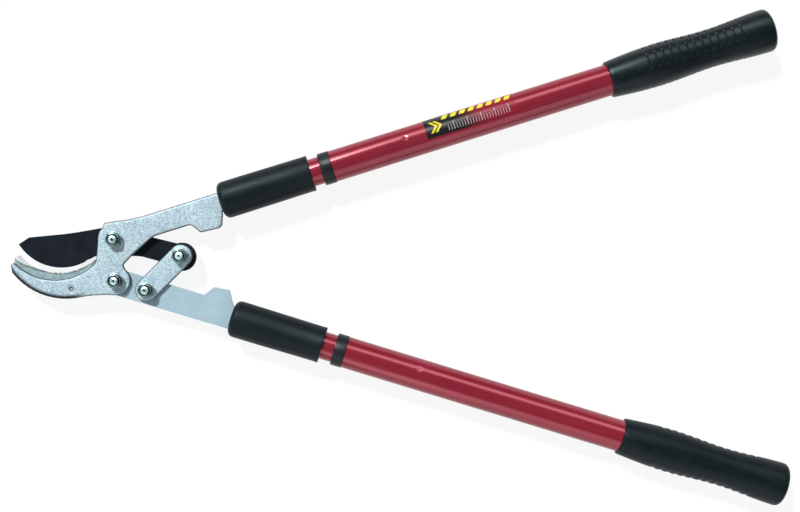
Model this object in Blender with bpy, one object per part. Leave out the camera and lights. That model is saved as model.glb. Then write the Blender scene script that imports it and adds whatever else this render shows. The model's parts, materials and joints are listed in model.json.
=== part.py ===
"""Telescopic compound lopper, lying flat with its nuts up.

The cutting head is a four-bar linkage. The hook plate carries the blade pivot
and the handle pivot, and its tang is fixed in the upper arm. The lower handle
plate turns on the handle pivot, and a link joins it to the tail of the blade.
Each arm is an inner tube with an outer tube and grip that slide over it, held by
a twist lock inside.

Sizes are in metres. The head is drawn from the blade pivot, with the handles
toward +X and the front face toward +Z. Each arm is drawn along its own +X axis,
from the front end of its sleeve.
"""

import math

import bmesh
import bpy
from mathutils import Matrix, Vector

# Linkage, as distances between pivot centres
HANDLE_PIVOT_DROP = 0.0364
HANDLE_PIVOT_FORWARD = 0.0013
LEVER_LENGTH = 0.0281
LINK_LENGTH = 0.0427
TAIL_LENGTH = 0.0600
UPPER_ARM_ANGLE = 17.4
LOWER_ARM_ANGLE = -16.95

# Where each sleeve starts, along and across its arm from the pivot that carries it
UPPER_SLEEVE_REACH = 0.0990
UPPER_AXIS_RISE = 0.0042
LOWER_SLEEVE_REACH = 0.1068
LOWER_AXIS_RISE = -0.0014

# Plate thicknesses, front to rear, and the running gap between layers
HOOK_THICKNESS = 0.0040
MIDDLE_THICKNESS = 0.0035
BLADE_THICKNESS = 0.0035
GAP = 0.0003
FRONT_EDGE_BREAK = 0.0009
MIDDLE_EDGE_BREAK = 0.0004

# Hook plate
JAW_INNER_RADIUS = 0.0502
JAW_INNER_CENTRE = (-0.0525, 0.0146)
JAW_OUTER_RADIUS = 0.0603
JAW_OUTER_CENTRE = (-0.0427, 0.0080)
JAW_TIP_WIDTH = 0.0026
BLADE_EYE_RADIUS = 0.0150
HANDLE_EYE_RADIUS = 0.0128
TANG_TOP = 0.0080
TANG_BOTTOM = 0.0118
LUG_DEPTH = 0.0210
UPPER_LUG_START = 0.0248
UPPER_LUG_END = 0.0055
LOWER_LUG_START = 0.0232
LOWER_LUG_END = 0.0091

# Counter plate, riveted behind the hook
COUNTER_FACE_RADIUS = 0.0429
COUNTER_FACE_CENTRE = (-0.0533, 0.0116)
COUNTER_BEVEL = 0.0024
COUNTER_INSET = 0.0016
COUNTER_EYE_RADIUS = 0.0122
COUNTER_RIVET_PLACE = (-0.0380, -0.0431)
COUNTER_RIVET_RADIUS = 0.0025
RIVET_DIMPLE_RADIUS = 0.0017
RIVET_DIMPLE_DEPTH = 0.0008

# Blade
EDGE_RADIUS = 0.0452
EDGE_CENTRE = (-0.0485, 0.0203)
BLADE_TIP = (-0.0867, -0.0043)
BLADE_NOSE = (-0.0774, 0.0019)
BLADE_BEVEL = 0.0050
TAIL_TOP = 0.0095
TAIL_BOTTOM = 0.0100
TAIL_EYE_RADIUS = 0.0126
TAIL_EYE_DROP = 0.0010

# Lower handle plate and link. The link is held by the lever pivot with some play
LOWER_PLATE_TOP = 0.0104
LOWER_PLATE_BOTTOM = 0.0125
LINK_END_RADIUS = 0.0101
LINK_PLAY = 0.0030

# Pivot bolts, lock nuts and washers
BOLT_RADIUS = 0.0040
BOLT_CLEARANCE = 0.0003
HEX_ACROSS_FLATS = 0.0130
BOLT_HEAD_HEIGHT = 0.0053
BOLT_DOME = 0.0014
NUT_HEX_HEIGHT = 0.0055
NUT_COLLAR_HEIGHT = 0.0024
NUT_COLLAR_RADIUS = 0.0054
BOLT_END_PROUD = 0.0010
NUT_TURN = 15.0
WASHER_RADIUS = 0.0080
WASHER_THICKNESS = 0.0016

# Tang, plug and cross rivets inside the front of each inner tube
TANG_TAIL_HALF_WIDTH = 0.0088
TANG_TAIL_LENGTH = 0.0580
TANG_SHOULDER = 0.0005
TANG_RIVET_PLACES = (0.0180, 0.0440)
TANG_RIVET_RADIUS = 0.0025
PLUG_TAIL = 0.0040

# Front sleeve
SLEEVE_LENGTH = 0.0835
SLEEVE_FRONT_RADIUS = 0.0164
SLEEVE_REAR_RADIUS = 0.0159
SLEEVE_ROUNDING = 0.0055
SLEEVE_FRONT_WALL = 0.0030

# Telescopic tubes
OUTER_TUBE_RADIUS = 0.0140
OUTER_TUBE_WALL = 0.0008
INNER_TUBE_WALL = 0.0010
COLLAR_START = 0.0935
COLLAR_LENGTH = 0.0100
COLLAR_RADIUS = 0.0144
BUSH_WALL = 0.0004
BUSH_LENGTH = 0.0820
DIMPLE_FROM_BUSH_END = 0.0055
DIMPLE_RADIUS = 0.0026
DIMPLE_DEPTH = 0.0007
DIMPLE_BUMP = 0.0006
DIMPLE_ANGLE = 12.0
RIM_CHAMFER = 0.0006

# Twist lock at the rear end of each inner tube
STEM_PLUG_LENGTH = 0.0220
STEM_FLANGE = 0.0030
STUD_RADIUS = 0.0040
EXPANDER_LENGTH = 0.0240
EXPANDER_SLIT = 0.0020
CONE_FRONT_RADIUS = 0.0060
CONE_REAR_RADIUS = 0.0090
CLIP_RADIUS = 0.0080
CLIP_THICKNESS = 0.0020
STUD_TAIL = 0.0015
LOCK_END_ROOM = 0.0015

# Grip
GRIP_START = 0.3578
GRIP_LENGTH = 0.1505
GRIP_END_WALL = 0.0045
GRIP_LIP_RADIUS = 0.0160
BELLY_AT = 0.0450
BELLY_RADIUS = 0.0187
WAIST_AT = 0.0935
WAIST_RADIUS = 0.0168
FLARE_FROM_END = 0.0045
FLARE_RADIUS = 0.0191
GRIP_END_ROUNDING = 0.0045
GROOVE_START = 0.0355
GROOVE_FROM_END = 0.0290
GROOVE_PITCH = 0.0071
GROOVE_WIDTH = 0.0018
GROOVE_DEPTH = 0.0007
UPPER_BANK_ANGLE = 12.0
LOWER_BANK_ANGLE = 90.0
BANK_HALF_WIDTH = 32.0

# Facets
TUBE_SIDES = 26
GRIP_SIDES = 24
LOCK_SIDES = 16
BOLT_SIDES = 16
RIVET_SIDES = 8
DIMPLE_SIDES = 12
ARC_STEP = 12.0
JAW_STEP = 6.0
SHARP_ANGLE = 30.0

# Finishes: colour, roughness, metallic
FINISHES = {
    "spangled zinc": ((0.42, 0.50, 0.54), 0.42, 1.0),
    "pale steel": ((0.50, 0.58, 0.62), 0.38, 1.0),
    "black coating": ((0.010, 0.012, 0.015), 0.45, 0.2),
    "red enamel": ((0.36, 0.018, 0.040), 0.26, 0.0),
    "black rubber": ((0.012, 0.014, 0.016), 0.48, 0.0),
    "black plastic": ((0.014, 0.016, 0.018), 0.40, 0.0),
    "grey plastic": ((0.10, 0.10, 0.11), 0.50, 0.0),
    "bright zinc": ((0.52, 0.58, 0.60), 0.32, 1.0),
}

# Levels of the plate layers, measured from the plane of the arms
FRONT_LOW = GAP / 2
FRONT_HIGH = FRONT_LOW + HOOK_THICKNESS
MIDDLE_HIGH = -GAP / 2
MIDDLE_LOW = MIDDLE_HIGH - MIDDLE_THICKNESS
BLADE_HIGH = MIDDLE_LOW - GAP
BLADE_LOW = BLADE_HIGH - BLADE_THICKNESS

# Tube fits, worked from the outer tube inward
OUTER_BORE = OUTER_TUBE_RADIUS - OUTER_TUBE_WALL
BUSH_RADIUS = OUTER_BORE - GAP
BUSH_BORE = BUSH_RADIUS - BUSH_WALL
INNER_TUBE_RADIUS = BUSH_BORE - GAP
INNER_BORE = INNER_TUBE_RADIUS - INNER_TUBE_WALL
PLUG_RADIUS = INNER_BORE - GAP
BOLT_HOLE = BOLT_RADIUS + BOLT_CLEARANCE

# Stations along an arm
COLLAR_END = COLLAR_START + COLLAR_LENGTH
OUTER_TUBE_START = COLLAR_END + GAP
GRIP_END = GRIP_START + GRIP_LENGTH
GRIP_BORE_END = GRIP_END - GRIP_END_WALL
OUTER_TUBE_END = GRIP_BORE_END - GAP
BUSH_END = COLLAR_START + BUSH_LENGTH
DIMPLE_AT = BUSH_END - DIMPLE_FROM_BUSH_END
INNER_TUBE_START = SLEEVE_FRONT_WALL + GAP
LOCK_LENGTH = GAP + STEM_FLANGE + GAP + EXPANDER_LENGTH + GAP + CLIP_THICKNESS + STUD_TAIL
INNER_TUBE_END = GRIP_BORE_END - LOCK_END_ROOM - LOCK_LENGTH


def turned_by(point, degrees):
    """A point turned about the origin."""
    angle = math.radians(degrees)
    x, y = point
    return (x * math.cos(angle) - y * math.sin(angle), x * math.sin(angle) + y * math.cos(angle))


def moved_by(point, offset):
    """A point carried by an offset."""
    return (point[0] + offset[0], point[1] + offset[1])


def crossing(first, first_reach, second, second_reach):
    """The crossing of two circles that lies farther toward +X."""
    apart = Vector(second) - Vector(first)
    distance = apart.length
    along = (first_reach**2 - second_reach**2 + distance**2) / (2 * distance)
    across = math.sqrt(first_reach**2 - along**2)
    unit = apart / distance
    base = Vector(first) + unit * along
    side = Vector((-unit.y, unit.x)) * across
    return tuple(max(base + side, base - side, key=lambda point: point.x))


# Pivot centres and arm starts in the head's own frame
BLADE_PIVOT = (0.0, 0.0)
HANDLE_PIVOT = (HANDLE_PIVOT_FORWARD, -HANDLE_PIVOT_DROP)
LEVER_PIVOT = moved_by(HANDLE_PIVOT, turned_by((LEVER_LENGTH, 0.0), LOWER_ARM_ANGLE))
TAIL_PIVOT = crossing(BLADE_PIVOT, TAIL_LENGTH, LEVER_PIVOT, LINK_LENGTH)
UPPER_START = turned_by((UPPER_SLEEVE_REACH, UPPER_AXIS_RISE), UPPER_ARM_ANGLE)
TAIL_ANGLE = math.degrees(math.atan2(TAIL_PIVOT[1], TAIL_PIVOT[0]))
LINK_ANGLE = math.degrees(
    math.atan2(LEVER_PIVOT[1] - TAIL_PIVOT[1], LEVER_PIVOT[0] - TAIL_PIVOT[0])
)


def on_upper_arm(along, across):
    """A point given along and across the upper arm, in the head's frame."""
    return moved_by(UPPER_START, turned_by((along, across), UPPER_ARM_ANGLE))


def on_tail(along, across):
    """A point given along and across the blade's tail, in the head's frame."""
    return turned_by((along, across), TAIL_ANGLE)


def arc(centre, radius, start, end, step=ARC_STEP):
    """Points on a circle from one angle to another, both ends included."""
    count = max(2, math.ceil(abs(end - start) / step))
    angles = [math.radians(start + (end - start) * i / count) for i in range(count + 1)]
    return [(centre[0] + radius * math.cos(a), centre[1] + radius * math.sin(a)) for a in angles]


def circle(centre, radius, sides=BOLT_SIDES):
    """The corners of a round hole."""
    return arc(centre, radius, 0.0, 360.0, 360.0 / sides)[:-1]


def rounded(corners):
    """An outline with each corner (x, y, fillet) rounded, as far as its edges leave room."""
    outline = []
    for i, (x, y, fillet) in enumerate(corners):
        here = Vector((x, y))
        before = Vector(corners[i - 1][:2]) - here
        after = Vector(corners[(i + 1) % len(corners)][:2]) - here
        if fillet == 0.0:
            outline.append((x, y))
            continue
        half = before.angle(after) / 2
        room = 0.48 * min(before.length, after.length)
        tangent = min(fillet / math.tan(half), room)
        radius = tangent * math.tan(half)
        centre = here + (before.normalized() + after.normalized()).normalized() * (
            radius / math.sin(half)
        )
        first = here + before.normalized() * tangent - centre
        last = here + after.normalized() * tangent - centre
        sweep = -first.angle_signed(last)
        count = max(1, round(abs(math.degrees(sweep)) / ARC_STEP))
        for step in range(count + 1):
            spoke = first.copy()
            spoke.rotate(Matrix.Rotation(sweep * step / count, 2))
            outline.append(tuple(centre + spoke))
    return outline


def plain(points):
    """Points of an arc as corners that need no rounding."""
    return [(x, y, 0.0) for x, y in points]


def finish(name, kind):
    """A material for one piece."""
    colour, roughness, metallic = FINISHES[kind]
    material = bpy.data.materials.new(f"{name} {kind}")
    material.use_nodes = True
    shader = material.node_tree.nodes["Principled BSDF"]
    shader.inputs["Base Color"].default_value = (*colour, 1.0)
    shader.inputs["Roughness"].default_value = roughness
    shader.inputs["Metallic"].default_value = metallic
    material.diffuse_color = (*colour, 1.0)
    return material


def add_piece(name, shape, kind, parent):
    """An object made from a bmesh, with its own material."""
    bmesh.ops.recalc_face_normals(shape, faces=shape.faces)
    mesh = bpy.data.meshes.new(name)
    shape.to_mesh(mesh)
    shape.free()
    mesh.shade_smooth()
    mesh.set_sharp_from_angle(angle=math.radians(SHARP_ANGLE))
    mesh.materials.append(finish(name, kind))
    piece = bpy.data.objects.new(name, mesh)
    bpy.context.scene.collection.objects.link(piece)
    piece.parent = parent
    return piece


def add_cutter(name, shape, parent):
    """A helper object for a Boolean, left out of the model."""
    bmesh.ops.recalc_face_normals(shape, faces=shape.faces)
    mesh = bpy.data.meshes.new(name)
    shape.to_mesh(mesh)
    shape.free()
    cutter = bpy.data.objects.new(name, mesh)
    bpy.context.scene.collection.objects.link(cutter)
    cutter.parent = parent
    cutter.hide_render = True
    cutter.display_type = "WIRE"
    return cutter


def add_empty(name, place, degrees, parent):
    """An axis that pieces hang on."""
    empty = bpy.data.objects.new(name, None)
    bpy.context.scene.collection.objects.link(empty)
    empty.empty_display_size = 0.02
    empty.location = place
    empty.rotation_euler = (0.0, 0.0, math.radians(degrees))
    empty.parent = parent
    return empty


def combine(piece, other, operation):
    """A Boolean between a piece and a helper."""
    modifier = piece.modifiers.new(f"{operation.lower()} {other.name}", "BOOLEAN")
    modifier.operation = operation
    modifier.solver = "EXACT"
    modifier.object = other


def inset(outline, reach):
    """A counterclockwise outline moved inward by a distance, corner by corner."""
    moved = []
    for i, (x, y) in enumerate(outline):
        before = Vector((x, y)) - Vector(outline[i - 1])
        after = Vector(outline[(i + 1) % len(outline)]) - Vector((x, y))
        inward = Vector((-before.y, before.x)).normalized()
        middle = (inward + Vector((-after.y, after.x)).normalized()).normalized()
        step = middle * reach / middle.dot(inward)
        moved.append((x + step.x, y + step.y))
    return moved


def plate(outline, holes, low, high, edge_break=0.0):
    """A flat plate with holes, whose outer rims can be chamfered."""
    area = sum(a[0] * b[1] - b[0] * a[1] for a, b in zip(outline, outline[1:] + outline[:1]))
    if area < 0.0:
        outline = outline[::-1]
    rim = [(outline, low), (outline, high)]
    if edge_break:
        narrow = inset(outline, edge_break)
        low_rim = [(narrow, low), (outline, low + edge_break)]
        rim = low_rim + [(outline, high - edge_break), (narrow, high)]
    shape = bmesh.new()
    ends = []
    for wall in [rim] + [[(hole, low), (hole, high)] for hole in holes]:
        rings = [[shape.verts.new((x, y, level)) for x, y in loop] for loop, level in wall]
        for below, above in zip(rings, rings[1:]):
            for i in range(len(below)):
                shape.faces.new((below[i - 1], below[i], above[i], above[i - 1]))
        ends.append((rings[0], rings[-1]))
    for level in (0, 1):
        edges = [
            shape.edges.get((end[level][i - 1], end[level][i]))
            for end in ends
            for i in range(len(end[level]))
        ]
        bmesh.ops.triangle_fill(shape, use_beauty=True, use_dissolve=False, edges=edges)
    return shape


def grind(shape, level, centre, radius, width, start, end):
    """Moves one face's stretch of edge toward the centre of its arc, as a ground bevel."""
    for vert in shape.verts:
        spoke = Vector((vert.co.x - centre[0], vert.co.y - centre[1]))
        bearing = math.degrees(math.atan2(spoke.y, spoke.x)) % 360.0
        on_edge = abs(spoke.length - radius) < GAP and start < bearing < end
        if on_edge and abs(vert.co.z - level) < GAP / 2:
            spoke *= (radius - width) / radius
            vert.co.x = centre[0] + spoke.x
            vert.co.y = centre[1] + spoke.y


def revolved(profile, sides, hollow=False, axis="X"):
    """A profile of (along, radius) points spun about an axis. A hollow one closes on itself."""
    shape = bmesh.new()
    if axis == "X":
        points = [(along, 0.0, radius) for along, radius in profile]
    else:
        points = [(radius, 0.0, along) for along, radius in profile]
    verts = [shape.verts.new(point) for point in points]
    edges = [shape.edges.new(pair) for pair in zip(verts, verts[1:])]
    if hollow:
        edges.append(shape.edges.new((verts[-1], verts[0])))
    bmesh.ops.spin(
        shape,
        geom=verts + edges,
        cent=(0.0, 0.0, 0.0),
        axis=(1.0, 0.0, 0.0) if axis == "X" else (0.0, 0.0, 1.0),
        angle=2 * math.pi,
        steps=sides,
        use_merge=True,
    )
    bmesh.ops.remove_doubles(shape, verts=shape.verts[:], dist=1e-7)
    return shape


def block(low, high):
    """A box between two corners."""
    shape = bmesh.new()
    size = Vector(high) - Vector(low)
    centre = (Vector(high) + Vector(low)) / 2
    matrix = Matrix.Translation(centre) @ Matrix.Diagonal((*size, 1.0))
    bmesh.ops.create_cube(shape, size=1.0, matrix=matrix)
    return shape


def hexagon(across_flats):
    """The corners of a hexagon."""
    return arc((0.0, 0.0), across_flats / math.sqrt(3), 0.0, 360.0, 60.0)[:-1]


def build_hook_plate(parent):
    """The fixed jaw: a crescent hook, two pivot eyes and the tang of the upper arm."""
    inner = arc(JAW_INNER_CENTRE, JAW_INNER_RADIUS, 313.0, 226.5, JAW_STEP)
    outer = arc(JAW_OUTER_CENTRE, JAW_OUTER_RADIUS, 218.0, 284.0, JAW_STEP)
    tip_x, tip_y = inner[-1]
    handle_x, handle_y = HANDLE_PIVOT
    shoulder = -TANG_SHOULDER
    tail = TANG_TAIL_LENGTH
    corners = [
        (tip_x - 0.0022, tip_y + 0.0014, 0.0012),
        (tip_x - 0.0022 - 0.8 * JAW_TIP_WIDTH, tip_y + 0.0014 - JAW_TIP_WIDTH, 0.0016),
        *plain(outer),
        (handle_x - 0.0150, handle_y - 0.0122, 0.0600),
        *plain(arc(HANDLE_PIVOT, HANDLE_EYE_RADIUS, 270.0, 412.0)),
        (handle_x + 0.0060, handle_y + 0.0139, 0.0040),
        (handle_x + 0.0150, handle_y + 0.0234, 0.0300),
        (*on_upper_arm(-0.0660, -TANG_BOTTOM), 0.0140),
        (*on_upper_arm(-UPPER_LUG_START - 0.0062, -TANG_BOTTOM), 0.0050),
        (*on_upper_arm(-UPPER_LUG_START, -LUG_DEPTH), 0.0016),
        (*on_upper_arm(-UPPER_LUG_END, -LUG_DEPTH - 0.0015), 0.0050),
        (*on_upper_arm(shoulder - 0.0010, -TANG_TAIL_HALF_WIDTH - 0.0030), 0.0020),
        (*on_upper_arm(shoulder, -TANG_TAIL_HALF_WIDTH), 0.0),
        (*on_upper_arm(tail, -TANG_TAIL_HALF_WIDTH), 0.0020),
        (*on_upper_arm(tail, TANG_TOP), 0.0020),
        (*on_upper_arm(-0.0760, TANG_TOP), 0.0800),
        (-0.0092, 0.0146, 0.0022),
        *plain(arc(BLADE_PIVOT, BLADE_EYE_RADIUS, 136.0, 186.0)),
        (-0.0163, -0.0196, 0.0080),
        *plain(inner),
    ]
    holes = [
        circle(BLADE_PIVOT, BOLT_HOLE),
        circle(HANDLE_PIVOT, BOLT_HOLE),
        circle(COUNTER_RIVET_PLACE, COUNTER_RIVET_RADIUS + GAP, RIVET_SIDES),
    ]
    holes += [
        circle(on_upper_arm(place, 0.0), TANG_RIVET_RADIUS + GAP, RIVET_SIDES)
        for place in TANG_RIVET_PLACES
    ]
    shape = plate(rounded(corners), holes, FRONT_LOW, FRONT_HIGH, FRONT_EDGE_BREAK)
    add_piece("hook_plate", shape, "spangled zinc", parent)


def build_counter_plate(parent):
    """The shear plate behind the hook: a ground edge for the blade to pass, and an eye on its pivot."""
    face = arc(COUNTER_FACE_CENTRE, COUNTER_FACE_RADIUS, 319.0, 218.5, JAW_STEP)
    outer_radius = JAW_OUTER_RADIUS - COUNTER_INSET
    outer = arc(JAW_OUTER_CENTRE, outer_radius, 219.0, 283.0, JAW_STEP)
    tip_x, tip_y = face[-1]
    handle_x, handle_y = HANDLE_PIVOT
    clear_of_handle = HANDLE_EYE_RADIUS + 2 * GAP
    corners = [
        (tip_x - 0.0016, tip_y + 0.0004, 0.0003),
        (tip_x - 0.0026, tip_y - 0.0062, 0.0010),
        *plain(outer),
        (handle_x - clear_of_handle - 0.0035, handle_y - 0.0110, 0.0030),
        (handle_x - clear_of_handle - 0.0012, handle_y + 0.0030, 0.0060),
        (handle_x - 0.0088, handle_y + clear_of_handle + 0.0020, 0.0060),
        *plain(arc(BLADE_PIVOT, COUNTER_EYE_RADIUS, -60.0, 190.0, 18.0)),
        (-0.0152, -0.0136, 0.0040),
        *plain(face),
    ]
    holes = [
        circle(BLADE_PIVOT, BOLT_HOLE),
        circle(COUNTER_RIVET_PLACE, COUNTER_RIVET_RADIUS + GAP, RIVET_SIDES),
    ]
    shape = plate(rounded(corners), holes, MIDDLE_LOW, MIDDLE_HIGH)
    grind(shape, MIDDLE_LOW, COUNTER_FACE_CENTRE, COUNTER_FACE_RADIUS, COUNTER_BEVEL, 218.0, 318.0)
    add_piece("counter_plate", shape, "bright zinc", parent)


def build_counter_rivet(parent):
    """A flush rivet through the hook and the counter plate, dimpled where it was set."""
    profile = [
        (MIDDLE_LOW + GAP, 0.0),
        (MIDDLE_LOW + GAP, COUNTER_RIVET_RADIUS),
        (FRONT_HIGH, COUNTER_RIVET_RADIUS),
        (FRONT_HIGH, RIVET_DIMPLE_RADIUS),
        (FRONT_HIGH - RIVET_DIMPLE_DEPTH, 0.0),
    ]
    shape = revolved(profile, RIVET_SIDES, axis="Z")
    rivet = add_piece("counter_rivet", shape, "bright zinc", parent)
    rivet.location = (*COUNTER_RIVET_PLACE, 0.0)


def build_blade(parent):
    """The moving blade: a curved edge ground on its rear face, and a tail to the link pivot."""
    cut_in = math.degrees(math.asin((TAIL_BOTTOM - TAIL_EYE_DROP) / TAIL_EYE_RADIUS))
    cut_out = math.degrees(math.asin((TAIL_TOP + TAIL_EYE_DROP) / TAIL_EYE_RADIUS))
    eye_centre = on_tail(TAIL_LENGTH, -TAIL_EYE_DROP)
    eye_start = TAIL_ANGLE - 180.0 + cut_in
    eye_end = TAIL_ANGLE + 180.0 - cut_out
    corners = [
        (*BLADE_TIP, 0.0),
        *plain(arc(EDGE_CENTRE, EDGE_RADIUS, 215.5, 296.0, JAW_STEP)),
        (-0.0172, -0.0170, 0.0030),
        (0.0145, -0.0146, 0.0200),
        (*on_tail(0.0245, -TAIL_BOTTOM + 0.0009), 0.0200),
        *plain(arc(eye_centre, TAIL_EYE_RADIUS, eye_start, eye_end, JAW_STEP)),
        (*on_tail(0.0200, TAIL_TOP), 0.0200),
        (0.0010, 0.0128, 0.0080),
        (-0.0400, 0.0055, 0.1500),
        (*BLADE_NOSE, 0.0008),
    ]
    holes = [circle(BLADE_PIVOT, BOLT_HOLE), circle(TAIL_PIVOT, BOLT_HOLE)]
    shape = plate(rounded(corners), holes, BLADE_LOW, BLADE_HIGH)
    grind(shape, BLADE_LOW, EDGE_CENTRE, EDGE_RADIUS, BLADE_BEVEL, 215.0, 296.5)
    add_piece("blade", shape, "black coating", parent)


def build_lower_plate(parent):
    """The lower handle plate, drawn along its arm from the handle pivot."""
    start = LOWER_SLEEVE_REACH
    axis = LOWER_AXIS_RISE
    shoulder = start - TANG_SHOULDER
    tail = start + TANG_TAIL_LENGTH
    low_tail = axis - TANG_TAIL_HALF_WIDTH
    high_tail = axis + TANG_TAIL_HALF_WIDTH
    corners = [
        *plain(arc((0.0, 0.0), LOWER_PLATE_BOTTOM, 124.0, 270.0)),
        (shoulder, axis - 0.0107, 0.0015),
        (shoulder, low_tail, 0.0),
        (tail, low_tail, 0.0020),
        (tail, high_tail, 0.0020),
        (shoulder, high_tail, 0.0),
        (shoulder - 0.0020, high_tail + 0.0020, 0.0060),
        (start - LOWER_LUG_END, axis + LUG_DEPTH + 0.0015, 0.0016),
        (start - LOWER_LUG_START, axis + LUG_DEPTH, 0.0016),
        (start - LOWER_LUG_START - 0.0062, LOWER_PLATE_TOP, 0.0040),
    ]
    lever_hole = BOLT_HOLE + LINK_PLAY
    holes = [circle((0.0, 0.0), BOLT_HOLE), circle((LEVER_LENGTH, 0.0), lever_hole, LOCK_SIDES)]
    holes += [
        circle((start + place, axis), TANG_RIVET_RADIUS + GAP, RIVET_SIDES)
        for place in TANG_RIVET_PLACES
    ]
    shape = plate(rounded(corners), holes, MIDDLE_LOW, MIDDLE_HIGH, MIDDLE_EDGE_BREAK)
    add_piece("lower_handle_plate", shape, "pale steel", parent)


def build_link(parent):
    """The link, drawn from the tail pivot toward the lever pivot."""
    outline = arc((0.0, 0.0), LINK_END_RADIUS, 90.0, 270.0)
    outline += arc((LINK_LENGTH, 0.0), LINK_END_RADIUS, -90.0, 90.0)
    holes = [circle((x, 0.0), BOLT_HOLE) for x in (0.0, LINK_LENGTH)]
    shape = plate(outline, holes, FRONT_LOW, FRONT_HIGH, FRONT_EDGE_BREAK)
    add_piece("link", shape, "spangled zinc", parent)


def build_bolt(name, place, under_head, turn, parent):
    """A hexagon bolt from the rear, with a domed end that stands proud of its nut."""
    end = FRONT_HIGH + GAP + NUT_HEX_HEIGHT + NUT_COLLAR_HEIGHT + BOLT_END_PROUD
    profile = [
        (under_head - BOLT_HEAD_HEIGHT / 2, 0.0),
        (under_head - BOLT_HEAD_HEIGHT / 2, BOLT_RADIUS),
        (end - BOLT_DOME, BOLT_RADIUS),
        (end - BOLT_DOME / 3, 0.7 * BOLT_RADIUS),
        (end, 0.0),
    ]
    shank = add_cutter(f"{name} shank", revolved(profile, BOLT_SIDES, axis="Z"), parent)
    head = plate(hexagon(HEX_ACROSS_FLATS), [], under_head - BOLT_HEAD_HEIGHT, under_head)
    bolt = add_piece(name, head, "bright zinc", parent)
    for item in (shank, bolt):
        item.location = (*place, 0.0)
        item.rotation_euler.z = math.radians(turn)
    combine(bolt, shank, "UNION")


def build_nut(name, place, turn, parent):
    """A lock nut on the front: a hexagon with a round collar above it."""
    low = FRONT_HIGH + GAP
    hexagon_top = low + NUT_HEX_HEIGHT
    top = hexagon_top + NUT_COLLAR_HEIGHT
    rounding = NUT_COLLAR_HEIGHT / 3
    profile = [
        (low + NUT_HEX_HEIGHT / 2, BOLT_HOLE),
        (low + NUT_HEX_HEIGHT / 2, NUT_COLLAR_RADIUS),
        (top - rounding, NUT_COLLAR_RADIUS),
        (top, NUT_COLLAR_RADIUS - rounding),
        (top, BOLT_HOLE),
    ]
    collar = add_cutter(f"{name} collar", revolved(profile, BOLT_SIDES, True, "Z"), parent)
    body = plate(hexagon(HEX_ACROSS_FLATS), [circle((0.0, 0.0), BOLT_HOLE)], low, hexagon_top)
    nut = add_piece(name, body, "bright zinc", parent)
    for item in (collar, nut):
        item.location = (*place, 0.0)
        item.rotation_euler.z = math.radians(turn)
    combine(nut, collar, "UNION")


def build_ring(name, place, high, thickness, parent):
    """A washer or a spacer round a pivot bolt. It gives the level where the next piece starts."""
    outline = circle((0.0, 0.0), WASHER_RADIUS)
    shape = plate(outline, [circle((0.0, 0.0), BOLT_HOLE)], high - thickness, high)
    ring = add_piece(name, shape, "bright zinc", parent)
    ring.location = (*place, 0.0)
    return high - thickness - GAP


def build_pivot(name, place, behind, turn, parent):
    """A bolt through one pivot, with a washer behind the last plate and a lock nut in front."""
    under_washer = build_ring(f"{name}_washer", place, behind - GAP, WASHER_THICKNESS, parent)
    build_bolt(f"{name}_bolt", place, under_washer, turn, parent)
    build_nut(f"{name}_nut", place, turn, parent)


def build_pivots(root, link):
    """The four pivots. The link carries the two at its own ends, and a spacer behind it."""
    build_pivot("blade_pivot", BLADE_PIVOT, BLADE_LOW, NUT_TURN, root)
    build_pivot("handle_pivot", HANDLE_PIVOT, MIDDLE_LOW, NUT_TURN, root)
    build_pivot("tail_pivot", (0.0, 0.0), BLADE_LOW, NUT_TURN - LINK_ANGLE, link)
    build_pivot("lever_pivot", (LINK_LENGTH, 0.0), MIDDLE_LOW, NUT_TURN - LINK_ANGLE, link)
    build_ring("tail_pivot_spacer", (0.0, 0.0), MIDDLE_HIGH, MIDDLE_THICKNESS, link)


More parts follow.
